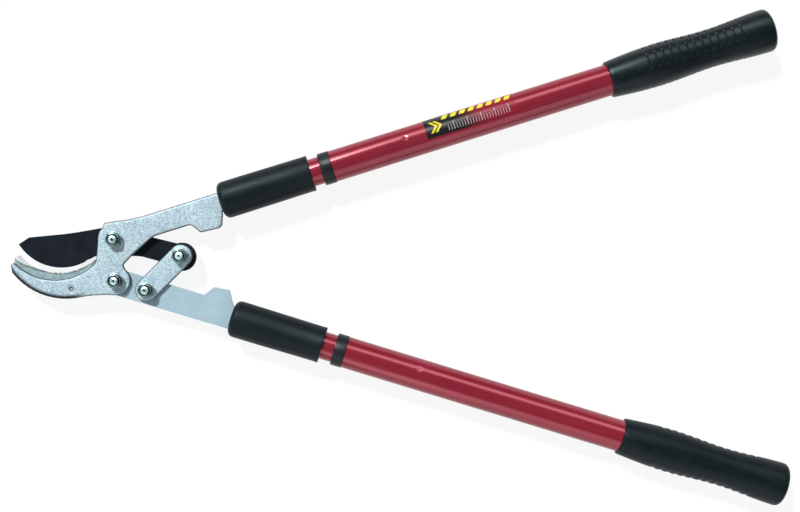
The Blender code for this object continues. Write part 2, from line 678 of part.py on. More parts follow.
def build_tang_fixing(side, tang_low, tang_high, top_reach, arm):
    """The plug round the tang's tail, the cross rivets, the inner tube and the sleeve over them."""
    slot_top = top_reach + GAP
    slot_bottom = TANG_TAIL_HALF_WIDTH + GAP
    slot_end = TANG_TAIL_LENGTH + GAP
    slot = block(
        (-SLEEVE_FRONT_WALL, -slot_bottom, tang_low - GAP), (slot_end, slot_top, tang_high + GAP)
    )
    slot_cutter = add_cutter(f"{side} tang slot", slot, arm)
    rivet_cutters = []
    for number, place in enumerate(TANG_RIVET_PLACES, 1):
        reach = 2 * INNER_TUBE_RADIUS
        radius = TANG_RIVET_RADIUS + GAP
        profile = [(reach, 0.0), (reach, radius), (-reach, radius), (-reach, 0.0)]
        hole = revolved(profile, RIVET_SIDES, axis="Z")
        cutter = add_cutter(f"{side} rivet hole {number}", hole, arm)
        cutter.location.x = place
        rivet_cutters.append(cutter)
        flush = INNER_TUBE_RADIUS * math.cos(math.pi / TUBE_SIDES) - GAP / 2
        profile = [
            (flush, 0.0),
            (flush, TANG_RIVET_RADIUS),
            (-flush, TANG_RIVET_RADIUS),
            (-flush, 0.0),
        ]
        shank = revolved(profile, RIVET_SIDES, axis="Z")
        rivet = add_piece(f"{side}_tang_rivet_{number}", shank, "bright zinc", arm)
        rivet.location.x = place

    plug_end = TANG_TAIL_LENGTH + PLUG_TAIL
    profile = [
        (INNER_TUBE_START, 0.0),
        (INNER_TUBE_START, PLUG_RADIUS),
        (plug_end, PLUG_RADIUS),
        (plug_end, 0.0),
    ]
    plug = add_piece(f"{side}_tang_plug", revolved(profile, LOCK_SIDES), "grey plastic", arm)
    combine(plug, slot_cutter, "DIFFERENCE")

    profile = [
        (INNER_TUBE_START, INNER_BORE),
        (INNER_TUBE_START, INNER_TUBE_RADIUS),
        (INNER_TUBE_END, INNER_TUBE_RADIUS),
        (INNER_TUBE_END, INNER_BORE),
    ]
    tube = add_piece(f"{side}_inner_tube", revolved(profile, TUBE_SIDES, True), "red enamel", arm)
    for cutter in rivet_cutters:
        combine(plug, cutter, "DIFFERENCE")
        combine(tube, cutter, "DIFFERENCE")

    bore = INNER_TUBE_RADIUS + GAP
    rounding = arc(
        (SLEEVE_ROUNDING, SLEEVE_FRONT_RADIUS - SLEEVE_ROUNDING), SLEEVE_ROUNDING, 180.0, 90.0, 22.5
    )
    profile = [
        (0.0, 0.0),
        *rounding,
        (SLEEVE_LENGTH - RIM_CHAMFER, SLEEVE_REAR_RADIUS),
        (SLEEVE_LENGTH, SLEEVE_REAR_RADIUS - RIM_CHAMFER),
        (SLEEVE_LENGTH, bore),
        (SLEEVE_FRONT_WALL, bore),
        (SLEEVE_FRONT_WALL, 0.0),
    ]
    sleeve = add_piece(f"{side}_sleeve", revolved(profile, TUBE_SIDES), "black rubber", arm)
    combine(sleeve, slot_cutter, "DIFFERENCE")


def build_twist_lock(side, arm):
    """The lock at the inner tube's end: a stem with a stud, a cone in a split expander, and a clip."""
    flange_start = INNER_TUBE_END + GAP
    flange_end = flange_start + STEM_FLANGE
    expander_start = flange_end + GAP
    expander_end = expander_start + EXPANDER_LENGTH
    clip_start = expander_end + GAP
    clip_end = clip_start + CLIP_THICKNESS
    profile = [
        (INNER_TUBE_END - STEM_PLUG_LENGTH, 0.0),
        (INNER_TUBE_END - STEM_PLUG_LENGTH, PLUG_RADIUS),
        (flange_start, PLUG_RADIUS),
        (flange_start, BUSH_RADIUS),
        (flange_end, BUSH_RADIUS),
        (flange_end, STUD_RADIUS),
        (clip_end + STUD_TAIL, STUD_RADIUS),
        (clip_end + STUD_TAIL, 0.0),
    ]
    add_piece(f"{side}_lock_stem", revolved(profile, LOCK_SIDES), "grey plastic", arm)

    bore = STUD_RADIUS + GAP
    profile = [
        (expander_start, bore),
        (expander_start, CONE_FRONT_RADIUS),
        (expander_end, CONE_REAR_RADIUS),
        (expander_end, bore),
    ]
    add_piece(f"{side}_lock_cone", revolved(profile, LOCK_SIDES, True), "bright zinc", arm)

    profile = [
        (expander_start, CONE_FRONT_RADIUS + 1.5 * GAP),
        (expander_start, BUSH_RADIUS),
        (expander_end, BUSH_RADIUS),
        (expander_end, CONE_REAR_RADIUS + 1.5 * GAP),
    ]
    shape = revolved(profile, LOCK_SIDES, True)
    expander = add_piece(f"{side}_lock_expander", shape, "black plastic", arm)
    slit = block(
        (expander_start - GAP, -EXPANDER_SLIT / 2, 0.0),
        (expander_end + GAP, EXPANDER_SLIT / 2, 1.2 * BUSH_RADIUS),
    )
    combine(expander, add_cutter(f"{side} expander slit", slit, arm), "DIFFERENCE")

    profile = [
        (clip_start, bore),
        (clip_start, CLIP_RADIUS),
        (clip_end, CLIP_RADIUS),
        (clip_end, bore),
    ]
    add_piece(f"{side}_lock_clip", revolved(profile, BOLT_SIDES, True), "bright zinc", arm)


def build_outer_tube(side, arm):
    """The outer tube and the guide bush in its mouth, pinned by a dimple in the tube."""
    profile = [
        (OUTER_TUBE_START, OUTER_BORE),
        (OUTER_TUBE_START, OUTER_TUBE_RADIUS),
        (OUTER_TUBE_END, OUTER_TUBE_RADIUS),
        (OUTER_TUBE_END, OUTER_BORE),
    ]
    tube = add_piece(f"{side}_outer_tube", revolved(profile, TUBE_SIDES, True), "red enamel", arm)
    facing = Matrix.Rotation(math.radians(-DIMPLE_ANGLE), 4, "X")
    place = Matrix.Translation((DIMPLE_AT, 0.0, 0.0)) @ facing

    bump_end = OUTER_BORE - DIMPLE_BUMP
    inside_wall = OUTER_BORE + OUTER_TUBE_WALL / 3
    profile = [
        (inside_wall, 0.0),
        (inside_wall, DIMPLE_RADIUS),
        (OUTER_BORE - DIMPLE_BUMP / 3, DIMPLE_RADIUS),
        (bump_end, 0.6 * DIMPLE_RADIUS),
        (bump_end, 0.0),
    ]
    bump = revolved(profile, DIMPLE_SIDES, axis="Z")
    bump.transform(place)
    combine(tube, add_cutter(f"{side} dimple bump", bump, arm), "UNION")

    ball = (DIMPLE_RADIUS**2 + DIMPLE_DEPTH**2) / (2 * DIMPLE_DEPTH)
    centre = OUTER_TUBE_RADIUS - DIMPLE_DEPTH + ball
    dent = bmesh.new()
    bmesh.ops.create_uvsphere(dent, u_segments=16, v_segments=16, radius=ball)
    dent.transform(place @ Matrix.Translation((0.0, 0.0, centre)))
    combine(tube, add_cutter(f"{side} dimple dent", dent, arm), "DIFFERENCE")

    profile = [
        (COLLAR_START, BUSH_BORE),
        (COLLAR_START, COLLAR_RADIUS - RIM_CHAMFER),
        (COLLAR_START + RIM_CHAMFER, COLLAR_RADIUS),
        (COLLAR_END, COLLAR_RADIUS),
        (COLLAR_END, BUSH_RADIUS),
        (BUSH_END, BUSH_RADIUS),
        (BUSH_END, BUSH_BORE),
    ]
    bush = add_piece(f"{side}_guide_bush", revolved(profile, TUBE_SIDES, True), "black plastic", arm)
    window = DIMPLE_RADIUS + 2 * GAP
    profile = [(OUTER_BORE, 0.0), (OUTER_BORE, window), (BUSH_BORE / 2, window), (BUSH_BORE / 2, 0.0)]
    hole = revolved(profile, DIMPLE_SIDES, axis="Z")
    hole.transform(place)
    combine(bush, add_cutter(f"{side} bush window", hole, arm), "DIFFERENCE")


def grip_radius(along):
    """The grip's outer radius at a distance from its front end."""
    flare_at = GRIP_LENGTH - FLARE_FROM_END
    if along < BELLY_AT:
        share = math.sin(math.pi / 2 * along / BELLY_AT)
        return GRIP_LIP_RADIUS + (BELLY_RADIUS - GRIP_LIP_RADIUS) * share
    if along < WAIST_AT:
        share = (1 + math.cos(math.pi * (along - BELLY_AT) / (WAIST_AT - BELLY_AT))) / 2
        return WAIST_RADIUS + (BELLY_RADIUS - WAIST_RADIUS) * share
    share = min(1.0, (along - WAIST_AT) / (flare_at - WAIST_AT))
    return WAIST_RADIUS + (FLARE_RADIUS - WAIST_RADIUS) * (1 - math.cos(math.pi * share)) / 2


def groove_centres():
    """Distances of the grip's grooves from its front end."""
    band = GRIP_LENGTH - GROOVE_FROM_END - GROOVE_START
    return [GROOVE_START + i * GROOVE_PITCH for i in range(int(band / GROOVE_PITCH) + 1)]


def build_grip(side, bank_angle, arm):
    """The grip: a turned body with a belly, a waist and a flared end, and two banks of grooves."""
    bore = OUTER_TUBE_RADIUS + GAP
    grooves = groove_centres()
    before = [GROOVE_START * share for share in (0.03, 0.25, 0.6)]
    last = grooves[-1]
    round_start = GRIP_LENGTH - GRIP_END_ROUNDING
    after = [last + (round_start - last) * share for share in (0.3, 0.65)]
    stations = before + after
    for centre in grooves:
        stations += [centre - GROOVE_WIDTH / 2, centre, centre + GROOVE_WIDTH / 2]
    rounding = arc(
        (round_start, FLARE_RADIUS - GRIP_END_ROUNDING), GRIP_END_ROUNDING, 90.0, 0.0, 30.0
    )
    outside = [(along, grip_radius(along)) for along in sorted(stations)] + rounding
    profile = [
        (GRIP_LENGTH - GRIP_END_WALL, 0.0),
        (GRIP_LENGTH - GRIP_END_WALL, bore),
        (0.0, bore),
        (0.0, GRIP_LIP_RADIUS - RIM_CHAMFER),
        *outside,
        (GRIP_LENGTH, 0.0),
    ]
    shape = revolved([(GRIP_START + along, radius) for along, radius in profile], GRIP_SIDES)
    for vert in shape.verts:
        along = vert.co.x - GRIP_START
        in_groove = any(abs(along - centre) < GROOVE_WIDTH / 4 for centre in grooves)
        spoke = Vector((vert.co.y, vert.co.z))
        if not in_groove or spoke.length < bore + GAP:
            continue
        bearing = math.degrees(math.atan2(vert.co.y, vert.co.z))
        off_bank = abs((bearing - bank_angle + 90.0) % 180.0 - 90.0)
        if off_bank < BANK_HALF_WIDTH:
            spoke *= 1 - GROOVE_DEPTH / spoke.length
            vert.co.y, vert.co.z = spoke
    add_piece(f"{side}_grip", shape, "black rubber", arm)


def build_arm(side, tang_low, tang_high, top_reach, bank_angle, arm):
    """Everything on one arm from the tang outward."""
    build_tang_fixing(side, tang_low, tang_high, top_reach, arm)
    build_twist_lock(side, arm)
    build_outer_tube(side, arm)
    build_grip(side, bank_angle, arm)


def lay_on_floor(root):
    """Moves the whole tool so that its box stands on the origin."""
    bpy.context.view_layer.update()
    graph = bpy.context.evaluated_depsgraph_get()
    points = []
    for piece in bpy.context.scene.objects:
        if piece.type == "MESH" and not piece.hide_render:
            solid = piece.evaluated_get(graph)
            points += [solid.matrix_world @ vert.co for vert in solid.data.vertices]
    low = Vector([min(point[i] for point in points) for i in range(3)])
    high = Vector([max(point[i] for point in points) for i in range(3)])
    root.location -= Vector(((low.x + high.x) / 2, (low.y + high.y) / 2, low.z))
    bpy.context.view_layer.update()


def main():
    """Clears the scene and builds the lopper."""
    for item in list(bpy.data.objects):
        bpy.data.objects.remove(item, do_unlink=True)
    root = add_empty("head", (0.0, 0.0, 0.0), 0.0, None)
    blade_axis = add_empty("blade_pivot", (*BLADE_PIVOT, 0.0), 0.0, root)
    link_axis = add_empty("link_pivot", (*TAIL_PIVOT, 0.0), LINK_ANGLE, blade_axis)
    handle_axis = add_empty("handle_pivot", (*HANDLE_PIVOT, 0.0), LOWER_ARM_ANGLE, root)
    upper_arm = add_empty("upper_arm", (*UPPER_START, 0.0), UPPER_ARM_ANGLE, root)
    lower_arm = add_empty("lower_arm", (LOWER_SLEEVE_REACH, LOWER_AXIS_RISE, 0.0), 0.0, handle_axis)

    build_hook_plate(root)
    build_counter_plate(root)
    build_counter_rivet(root)
    build_blade(blade_axis)
    build_lower_plate(handle_axis)
    build_link(link_axis)
    build_pivots(root, link_axis)
    build_arm("upper", FRONT_LOW, FRONT_HIGH, TANG_TOP, UPPER_BANK_ANGLE, upper_arm)
    build_arm("lower", MIDDLE_LOW, MIDDLE_HIGH, TANG_TAIL_HALF_WIDTH, LOWER_BANK_ANGLE, lower_arm)
    lay_on_floor(root)


if __name__ == "__main__":
    main()
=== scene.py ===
"""Looks of a telescopic compound lopper, built as an add-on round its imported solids.

Each operator makes one piece or one group of like pieces. A new piece rides on the body of the solid that it
stands for, and a solid that stays gets a finish of its own.
"""

import json
import math

import bpy
from bpy.props import FloatProperty, FloatVectorProperty, IntProperty, PointerProperty
from mathutils import Matrix, Vector


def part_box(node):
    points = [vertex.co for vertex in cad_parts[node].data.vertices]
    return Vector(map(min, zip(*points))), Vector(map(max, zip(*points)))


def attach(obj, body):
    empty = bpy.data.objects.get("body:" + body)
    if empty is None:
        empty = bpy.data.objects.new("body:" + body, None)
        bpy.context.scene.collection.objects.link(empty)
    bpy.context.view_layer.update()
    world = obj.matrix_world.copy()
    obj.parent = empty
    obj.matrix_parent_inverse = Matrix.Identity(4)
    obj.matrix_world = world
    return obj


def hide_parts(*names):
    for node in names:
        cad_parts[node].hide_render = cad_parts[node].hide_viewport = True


bl_info = {
    "name": "Telescopic Lopper",
    "version": (1, 0, 0),
    "blender": (4, 5, 0),
    "location": "View3D > Sidebar > Lopper",
    "description": "Finished pieces, materials and studio for a telescopic lopper",
    "category": "Add Mesh",
}

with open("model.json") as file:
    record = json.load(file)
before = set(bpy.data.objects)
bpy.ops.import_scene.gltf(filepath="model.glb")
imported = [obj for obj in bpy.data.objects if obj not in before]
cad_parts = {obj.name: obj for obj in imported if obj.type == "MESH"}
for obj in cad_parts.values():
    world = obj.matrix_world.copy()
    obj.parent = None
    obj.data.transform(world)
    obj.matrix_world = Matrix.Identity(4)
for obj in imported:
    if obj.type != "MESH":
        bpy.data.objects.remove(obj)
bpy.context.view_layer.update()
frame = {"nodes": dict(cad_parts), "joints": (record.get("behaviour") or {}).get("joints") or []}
NODES = frame["nodes"]
JOINTS = {joint["name"]: joint for joint in frame["joints"]}
SIDES = ("upper", "lower")
# Vertex attribute that carries the painted shade of a grip's grooves.
GROOVE_SHADE_MARK = "groove"


def arm_place(side):
    """The matrix that carries an arm drawn along +X to its place."""
    joint = JOINTS[f"{side}_twist"]
    along = Vector(joint["axis"]).normalized()
    up = Vector((0.0, 0.0, 1.0))
    turn = Matrix((along, up.cross(along), up)).transposed().to_4x4()
    return Matrix.Translation(joint["pos_m"]) @ turn


ARM = {side: arm_place(side) for side in SIDES}
ARM_BODY = {"upper": "root", "lower": "lower_handle"}
ARM_TURN = {side: math.atan2(ARM[side][1][0], ARM[side][0][0]) for side in SIDES}
PIVOT_BODY = {
    "blade_pivot": "root",
    "handle_pivot": "root",
    "tail_pivot": "link_body",
    "lever_pivot": "link_body",
}


def metres(name, description, default):
    """A length that can be set in the panel."""
    return FloatProperty(name=name, description=description, default=default, unit="LENGTH")


def tint(name, description, default):
    """A colour that can be set in the panel."""
    return FloatVectorProperty(name=name, description=description, default=default, subtype="COLOR")


def brightness(name, description, default):
    """A strength of light that can be set in the panel."""
    return FloatProperty(name=name, description=description, default=default, min=0.0)


class LopperSizes(bpy.types.PropertyGroup):
    """Sizes of the pieces that are made here."""

    edge_rounding: metres("Edge rounding", "Extra width of the rounding on the front plates", 0.0007)
    sleeve_radius: metres("Sleeve radius", "Radius of a front sleeve at its front end", 0.0164)
    grip_belly: metres("Grip belly", "Radius of a grip at its belly", 0.0187)
    grip_waist: metres("Grip waist", "Radius of a grip at its waist", 0.0168)
    grip_flare: metres("Grip flare", "Radius of a grip at its flared end", 0.0191)
    groove_depth: metres("Groove depth", "Depth of the finger grooves in a grip", 0.0008)
    tube_radius: metres("Outer tube radius", "Radius of an outer tube", 0.0140)
    label_length: metres("Label length", "Length of the printed film on the upper tube", 0.082)
    turned_sides: IntProperty(
        name="Turned sides", description="Sides of a tube, sleeve or grip", default=96, min=24, max=256
    )


class LopperFinishes(bpy.types.PropertyGroup):
    """Colours of the finishes."""

    zinc_light: tint("Zinc, light", "Light spangles of the zinc", (0.78, 0.95, 1.0))
    zinc_dark: tint("Zinc, dark", "Dark spangles of the zinc", (0.25, 0.41, 0.53))
    pale_steel: tint("Pale steel", "Lower handle plate", (0.426, 0.598, 0.69))
    bright_zinc: tint("Bright zinc", "Nuts, bolts and washers", (0.62, 0.86, 0.88))
    blade_black: tint("Blade coating", "Coating of the blade", (0.0065, 0.0105, 0.0150))
    enamel_red: tint("Red enamel", "Enamel of the tubes", (0.285, 0.012, 0.033))
    rubber_black: tint("Black rubber", "Grips and sleeves", (0.0035, 0.0062, 0.0078))
    plastic_grey: tint("Grey plastic", "Plugs inside the tubes", (0.10, 0.10, 0.11))
    label_yellow: tint("Label yellow", "Printed stripes of the label", (0.90, 0.78, 0.03))


class LopperStudio(bpy.types.PropertyGroup):
    """Camera and light."""

    camera_height: metres("Camera height", "Height of the camera above the floor", 1.0787)
    lens: FloatProperty(name="Lens", description="Focal length in millimetres", default=54.0)
    key_strength: brightness("Key light", "Strength of the key light", 2.8)
    key_spread: FloatProperty(
        name="Key spread", description="Width of the key light", default=math.radians(6.0), subtype="ANGLE"
    )
    fill_power: FloatProperty(
        name="Fill power", description="Power of the fill lamp", default=12.0, unit="POWER"
    )
    lit_side: brightness("Lit side", "Even light from the side of the key light", 0.19)
    far_side: brightness("Far side", "Even light from the other side", 0.15)
    ceiling: brightness("Ceiling", "The studio overhead, as gloss shows it", 0.28)
    near_wall: brightness("Near wall", "The wall beside the strip, as gloss shows it", 0.18)
    far_wall: brightness("Far wall", "The wall across from it, as gloss shows it", 0.10)
    strip: brightness("Strip", "The long light over the near wall, as gloss shows it", 4.3)
    window: brightness("Window", "The window over the far wall, as gloss shows it", 1.2)


def sizes():
    """The sizes set in the panel."""
    return bpy.context.scene.lopper_sizes


def finishes():
    """The colours set in the panel."""
    return bpy.context.scene.lopper_finishes


def deselect():
    """Leaves nothing selected."""
    bpy.ops.object.select_all(action="DESELECT")


def choose(piece):
    """Makes a piece active and the only one selected."""
    deselect()
    piece.select_set(True)
    bpy.context.view_layer.objects.active = piece


def edit(piece, mode="VERT"):
    """Enters edit mode on one piece alone."""
    choose(piece)
    bpy.ops.object.mode_set(mode="EDIT")
    bpy.ops.mesh.select_mode(type=mode)


def leave_edit():
    """Goes back to object mode."""
    bpy.ops.object.mode_set(mode="OBJECT")


def select_points(piece, wanted=lambda point: False):
    """Selects the vertices for which the test holds, and nothing else."""
    mesh = piece.data
    for part in (mesh.vertices, mesh.edges, mesh.polygons):
        part.foreach_set("select", [False] * len(part))
    mesh.vertices.foreach_set("select", [bool(wanted(point)) for point in mesh.vertices])


def added(name):
    """The object that was just added, once it and its data are named."""
    piece = bpy.context.object
    piece.name = name
    piece.data.name = name
    return piece


def settle(piece, place):
    """Puts a piece in its place and moves that place into its mesh."""
    piece.matrix_world = place @ piece.matrix_world
    choose(piece)
    bpy.ops.object.transform_apply()


def smooth(piece, degrees):
    """Smooth shading with the corners kept sharp."""
    choose(piece)
    bpy.ops.object.shade_smooth_by_angle(angle=math.radians(degrees))


def apply_modifier(piece, kind, **settings):
    """Adds a modifier, sets it and applies it."""
    modifier = piece.modifiers.new(kind.title(), kind)
    for key, value in settings.items():
        setattr(modifier, key, value)
    bpy.context.view_layer.objects.active = piece
    bpy.ops.object.modifier_apply(modifier=modifier.name)


def join_by(piece, other, operation):
    """A Boolean with another piece, which is used up."""
    apply_modifier(piece, "BOOLEAN", operation=operation, solver="EXACT", object=other)
    bpy.data.objects.remove(other, do_unlink=True)


def turned(name, stations, sides, hollow=False):
    """A turned body along +X: a circle, extruded and scaled from one station (along, radius) to the next.

    A solid one has both ends capped. A hollow one closes on its own first ring."""
    deselect()
    along, radius = stations[0]
    bpy.ops.mesh.primitive_circle_add(
        vertices=sides,
        radius=radius,
        fill_type="NOTHING" if hollow else "NGON",
        location=(along, 0.0, 0.0),
        rotation=(0.0, math.pi / 2, 0.0),
    )
    piece = added(name)
    bpy.ops.object.transform_apply()
    edit(piece)
    bpy.ops.mesh.select_all(action="SELECT")
    for reach, width in stations[1:] + ([stations[0]] if hollow else []):
        share = width / radius
        bpy.ops.mesh.extrude_region_move(TRANSFORM_OT_translate={"value": (reach - along, 0.0, 0.0)})
        bpy.ops.transform.resize(value=(1.0, share, share), center_override=(reach, 0.0, 0.0))
        along, radius = reach, width
    bpy.ops.mesh.select_all(action="SELECT")
    bpy.ops.mesh.remove_doubles(threshold=1e-7)
    bpy.ops.mesh.normals_make_consistent(inside=False)
    leave_edit()
    return piece


def quarter(centre, radius, first, last, steps):
    """Stations on a rounding, with the angle counted from +X toward the outside."""
    turns = [math.radians(first + (last - first) * step / steps) for step in range(steps + 1)]
    return [(centre[0] + radius * math.cos(t), centre[1] + radius * math.sin(t)) for t in turns]


def middle(box):
    """The middle of a box that is given by its corners."""
    return sum(box, Vector()) / 2


def outside(point, bore):
    """Whether a point of a hollow piece that lies along X is on its outside."""
    return point.co.yz.length > bore + RUNNING_GAP


def standing(centre=(0.0, 0.0, 0.0)):
    """The matrix that stands a body drawn along +X upright on a point."""
    return Matrix.Translation(centre) @ Matrix.Rotation(-math.pi / 2, 4, "Y")


class Finish:
    """A material or world while it is built."""

    def __init__(self, name, world=False):
        self.material = (bpy.data.worlds if world else bpy.data.materials).new(name)
        self.material.use_nodes = True
        self.tree = self.material.node_tree
        self.shader = self.tree.nodes["Background" if world else "Principled BSDF"]

    def node(self, kind, settings=None, **inputs):
        """A shader node, with its settings and inputs."""
        made = self.tree.nodes.new("ShaderNode" + kind)
        for key, value in (settings or {}).items():
            setattr(made, key, value)
        for key, value in inputs.items():
            self.feed(made.inputs[key.replace("_", " ")], value)
        return made

    def feed(self, socket, value):
        """Links a signal to an input, or sets a plain value."""
        if isinstance(value, Signal):
            self.tree.links.new(value.socket, socket)
        elif isinstance(value, bpy.types.NodeSocket):
            self.tree.links.new(value, socket)
        else:
            socket.default_value = value

    def set(self, **inputs):
        """Feeds the shader's inputs."""
        for key, value in inputs.items():
            self.feed(self.shader.inputs[key.replace("_", " ")], value)

    def coordinates(self, output="Object", turn=0.0, scale=(1.0, 1.0, 1.0), centre=(0.0, 0.0, 0.0)):
        """Coordinates turned about the vertical, centred and scaled."""
        source = self.node("TexCoord").outputs[output]
        moved = self.node("Mapping", Vector=source, Location=[-value for value in centre])
        turned_round = self.node("Mapping", Vector=moved.outputs[0], Rotation=(0.0, 0.0, -turn))
        return self.node("Mapping", Vector=turned_round.outputs[0], Scale=scale).outputs[0]

    def noise(self, vector, scale, detail=2.0, roughness=0.5):
        """Soft noise, around a half."""
        made = self.node("TexNoise", Vector=vector, Scale=scale, Detail=detail, Roughness=roughness)
        return Signal(self, made.outputs[0])

    def cells(self, vector, scale):
        """Random shade of each cell."""
        made = self.node("TexVoronoi", Vector=vector, Scale=scale)
        split = self.node("SeparateColor", Color=made.outputs["Color"])
        return Signal(self, split.outputs[0])

    def axes(self, vector):
        """The three coordinates as signals."""
        split = self.node("SeparateXYZ", Vector=vector)
        return [Signal(self, split.outputs[i]) for i in range(3)]

    def around(self, centre):
        """The three coordinates from a centre, and the distance from its upright axis."""
        across, down, height = self.axes(self.coordinates(centre=centre))
        return across, down, height, (across * across + down * down).math("SQRT")

    def mix(self, share, first, second):
        """A colour between two."""
        made = self.node("Mix", {"data_type": "RGBA"})
        self.feed(made.inputs[0], share)
        for socket, colour in ((made.inputs[6], first), (made.inputs[7], second)):
            self.feed(socket, colour if isinstance(colour, bpy.types.NodeSocket) else (*colour, 1.0))
        return made.outputs[2]

    def rounded_normal(self, radius):
        """The surface's normal, with every edge shaded as rounded."""
        return self.node("Bevel", {"samples": 6}, Radius=radius).outputs[0]

    def cut_edge_shade(self, steep, flat):
        """Painted shade on a plate's steep cut rim: nearly one where the rim is steep, and none where it is
        flat.
        """
        upright = self.axes(self.node("NewGeometry").outputs["Normal"])[2]
        return upright.size().ramp(steep, flat, 0.96, 0.0)

    def worn_and_highlit_edge(self):
        """One on a plate's edges, painted near white, partly wear and partly a painted highlight; none on its
        faces.
        """
        likeness = self.node("VectorMath", {"operation": "DOT_PRODUCT"})
        self.feed(likeness.inputs[0], self.rounded_normal(EDGE_SOFTNESS))
        self.feed(likeness.inputs[1], self.node("NewGeometry").outputs["Normal"])
        return Signal(self, likeness.outputs["Value"]).ramp(0.86, 0.985, 1.0, 0.0)

    def bump(self, height, distance, strength=1.0, rounding=0.0):
        """Relief, over edges that are shaded as rounded."""
        made = self.node("Bump", Height=height, Distance=distance, Strength=strength)
        if rounding:
            self.feed(made.inputs["Normal"], self.rounded_normal(rounding))
        self.set(Normal=made.outputs[0])


class Signal:
    """A number that varies over a surface, with arithmetic that adds nodes."""

    def __init__(self, finish, socket):
        self.finish = finish
        self.socket = socket

    def math(self, operation, other=None):
        """The signal after an operation, which may take another signal or number."""
        made = self.finish.node("Math", {"operation": operation})
        self.finish.feed(made.inputs[0], self)
        if other is not None:
            self.finish.feed(made.inputs[1], other)
        return Signal(self.finish, made.outputs[0])

    def __add__(self, other):
        return self.math("ADD", other)

    def __sub__(self, other):
        return self.math("SUBTRACT", other)

    def __mul__(self, other):
        return self.math("MULTIPLY", other)

    def __gt__(self, other):
        return self.math("GREATER_THAN", other)

    def __lt__(self, other):
        return self.math("LESS_THAN", other)

    def size(self):
        """The signal without its sign."""
        return self.math("ABSOLUTE")

    def part(self, pitch):
        """The place inside a repeat, from 0 to 1."""
        return self.math("DIVIDE", pitch).math("FRACT")

    def between(self, low, high):
        """One between two limits, and none elsewhere."""
        return (self > low) * (self < high)

    def ramp(self, low, high, start=0.0, end=1.0):
        """Runs from start to end as the signal goes from low to high."""
        made = self.finish.node("MapRange", {"interpolation_type": "SMOOTHSTEP"}, Value=self)
        for name, value in (("From Min", low), ("From Max", high), ("To Min", start), ("To Max", end)):
            made.inputs[name].default_value = value
        return Signal(self.finish, made.outputs[0])


# Painted shade along the lower outer edge of the jaw: its colour, where it starts and is full, and how ragged
# it is.
JAW_SHADE_COLOUR = (0.006, 0.011, 0.012)
JAW_SHADE_START = 0.0047
JAW_SHADE_FULL = 0.0016
JAW_SHADE_RAGGED = 0.0012
# Nearly black for steep cut rims: partly darker cut steel, mostly painted shade.
CUT_EDGE_SHADE_COLOUR = (0.03, 0.05, 0.055)
# Near white for plate edges: partly rubbed wear, partly a painted highlight.
EDGE_WEAR_AND_HIGHLIGHT_COLOUR = (0.93, 1.0, 1.0)
EDGE_SOFTNESS = 0.0025


def spangled_zinc(name, arc=None, steep=0.56, flat=0.84):
    """Zinc with fine crystals.

    A jaw gets painted shade, nearly black, along the lower part of its outer edge, an arc with this centre
    and radius. A cut rim is painted dark where it is steeper than the one value, and not where it is flatter
    than the other: partly darker cut steel, mostly painted shade."""
    kit = Finish(name)
    place = kit.coordinates()
    crystal = kit.cells(place, 1000.0)
    flecks = kit.noise(place, 1400.0, 3.0, 0.7)
    clouds = kit.noise(place, 60.0, 3.0, 0.6)
    shade = crystal * 0.5 + flecks * 1.7 + clouds * 0.4
    colour = kit.mix(shade.ramp(0.75, 1.85), finishes().zinc_dark, finishes().zinc_light)
    # Edges are painted near white: partly rubbed wear, partly a painted highlight.
    colour = kit.mix(kit.worn_and_highlit_edge() * 0.8, colour, EDGE_WEAR_AND_HIGHLIGHT_COLOUR)
    # Steep rims are painted nearly black: partly darker cut steel, mostly painted shade.
    colour = kit.mix(kit.cut_edge_shade(steep, flat), colour, CUT_EDGE_SHADE_COLOUR)
    if arc:
        # Painted shade: the jaw's lower outer edge, which faces away from the key light, is darkened; the
        # mask named scale carries it.
        centre, radius = arc
        across, down, _, reach = kit.around((*centre, 0.0))
        sector = across.ramp(0.004, 0.024, 1.0, 0.0) * down.ramp(-0.030, -0.022, 1.0, 0.0)
        ragged = reach + (clouds - 0.5) * JAW_SHADE_RAGGED
        scale = ragged.ramp(radius - JAW_SHADE_START, radius - JAW_SHADE_FULL, 0.0, 0.97) * sector
        colour = kit.mix(scale, colour, JAW_SHADE_COLOUR)
        kit.set(Specular_IOR_Level=scale.ramp(0.0, 1.0, 0.5, 0.1))
    kit.set(Base_Color=colour, Metallic=0.08, Roughness=crystal.ramp(0.0, 1.0, 0.36, 0.52))
    kit.bump(flecks * 0.6 + crystal * 0.4, 0.00025, 0.6, EDGE_SOFTNESS)
    return kit.material


def pale_steel(name, turn):
    """Smooth rolled steel with faint marks along the arm and a few scratches."""
    kit = Finish(name)
    rolled = kit.coordinates(turn=turn, scale=(60.0, 900.0, 60.0))
    clouds = kit.noise(kit.coordinates(), 38.0, 4.0, 0.6)
    grain = kit.noise(rolled, 1.0, 3.0, 0.6)
    scratch = kit.noise(kit.coordinates(turn=turn + 0.5, scale=(25.0, 700.0, 60.0)), 1.0, 1.0)
    worn = scratch.ramp(0.70, 0.73)
    light = [min(1.0, value * 1.14) for value in finishes().pale_steel]
    dark = [value * 0.90 for value in finishes().pale_steel]
    colour = kit.mix((clouds * 0.8 + grain * 0.3 - worn * 0.4).ramp(0.3, 0.8), dark, light)
    kit.set(Base_Color=colour, Metallic=0.05, Roughness=(grain + worn).ramp(0.3, 1.4, 0.40, 0.54))
    kit.bump(grain * 0.4 + clouds * 0.2, 0.00006, 0.5)
    return kit.material


# Colour of the painted shade in the gaps and hollows of nuts and bolts.
RING_SHADE_COLOUR = (0.012, 0.024, 0.026)


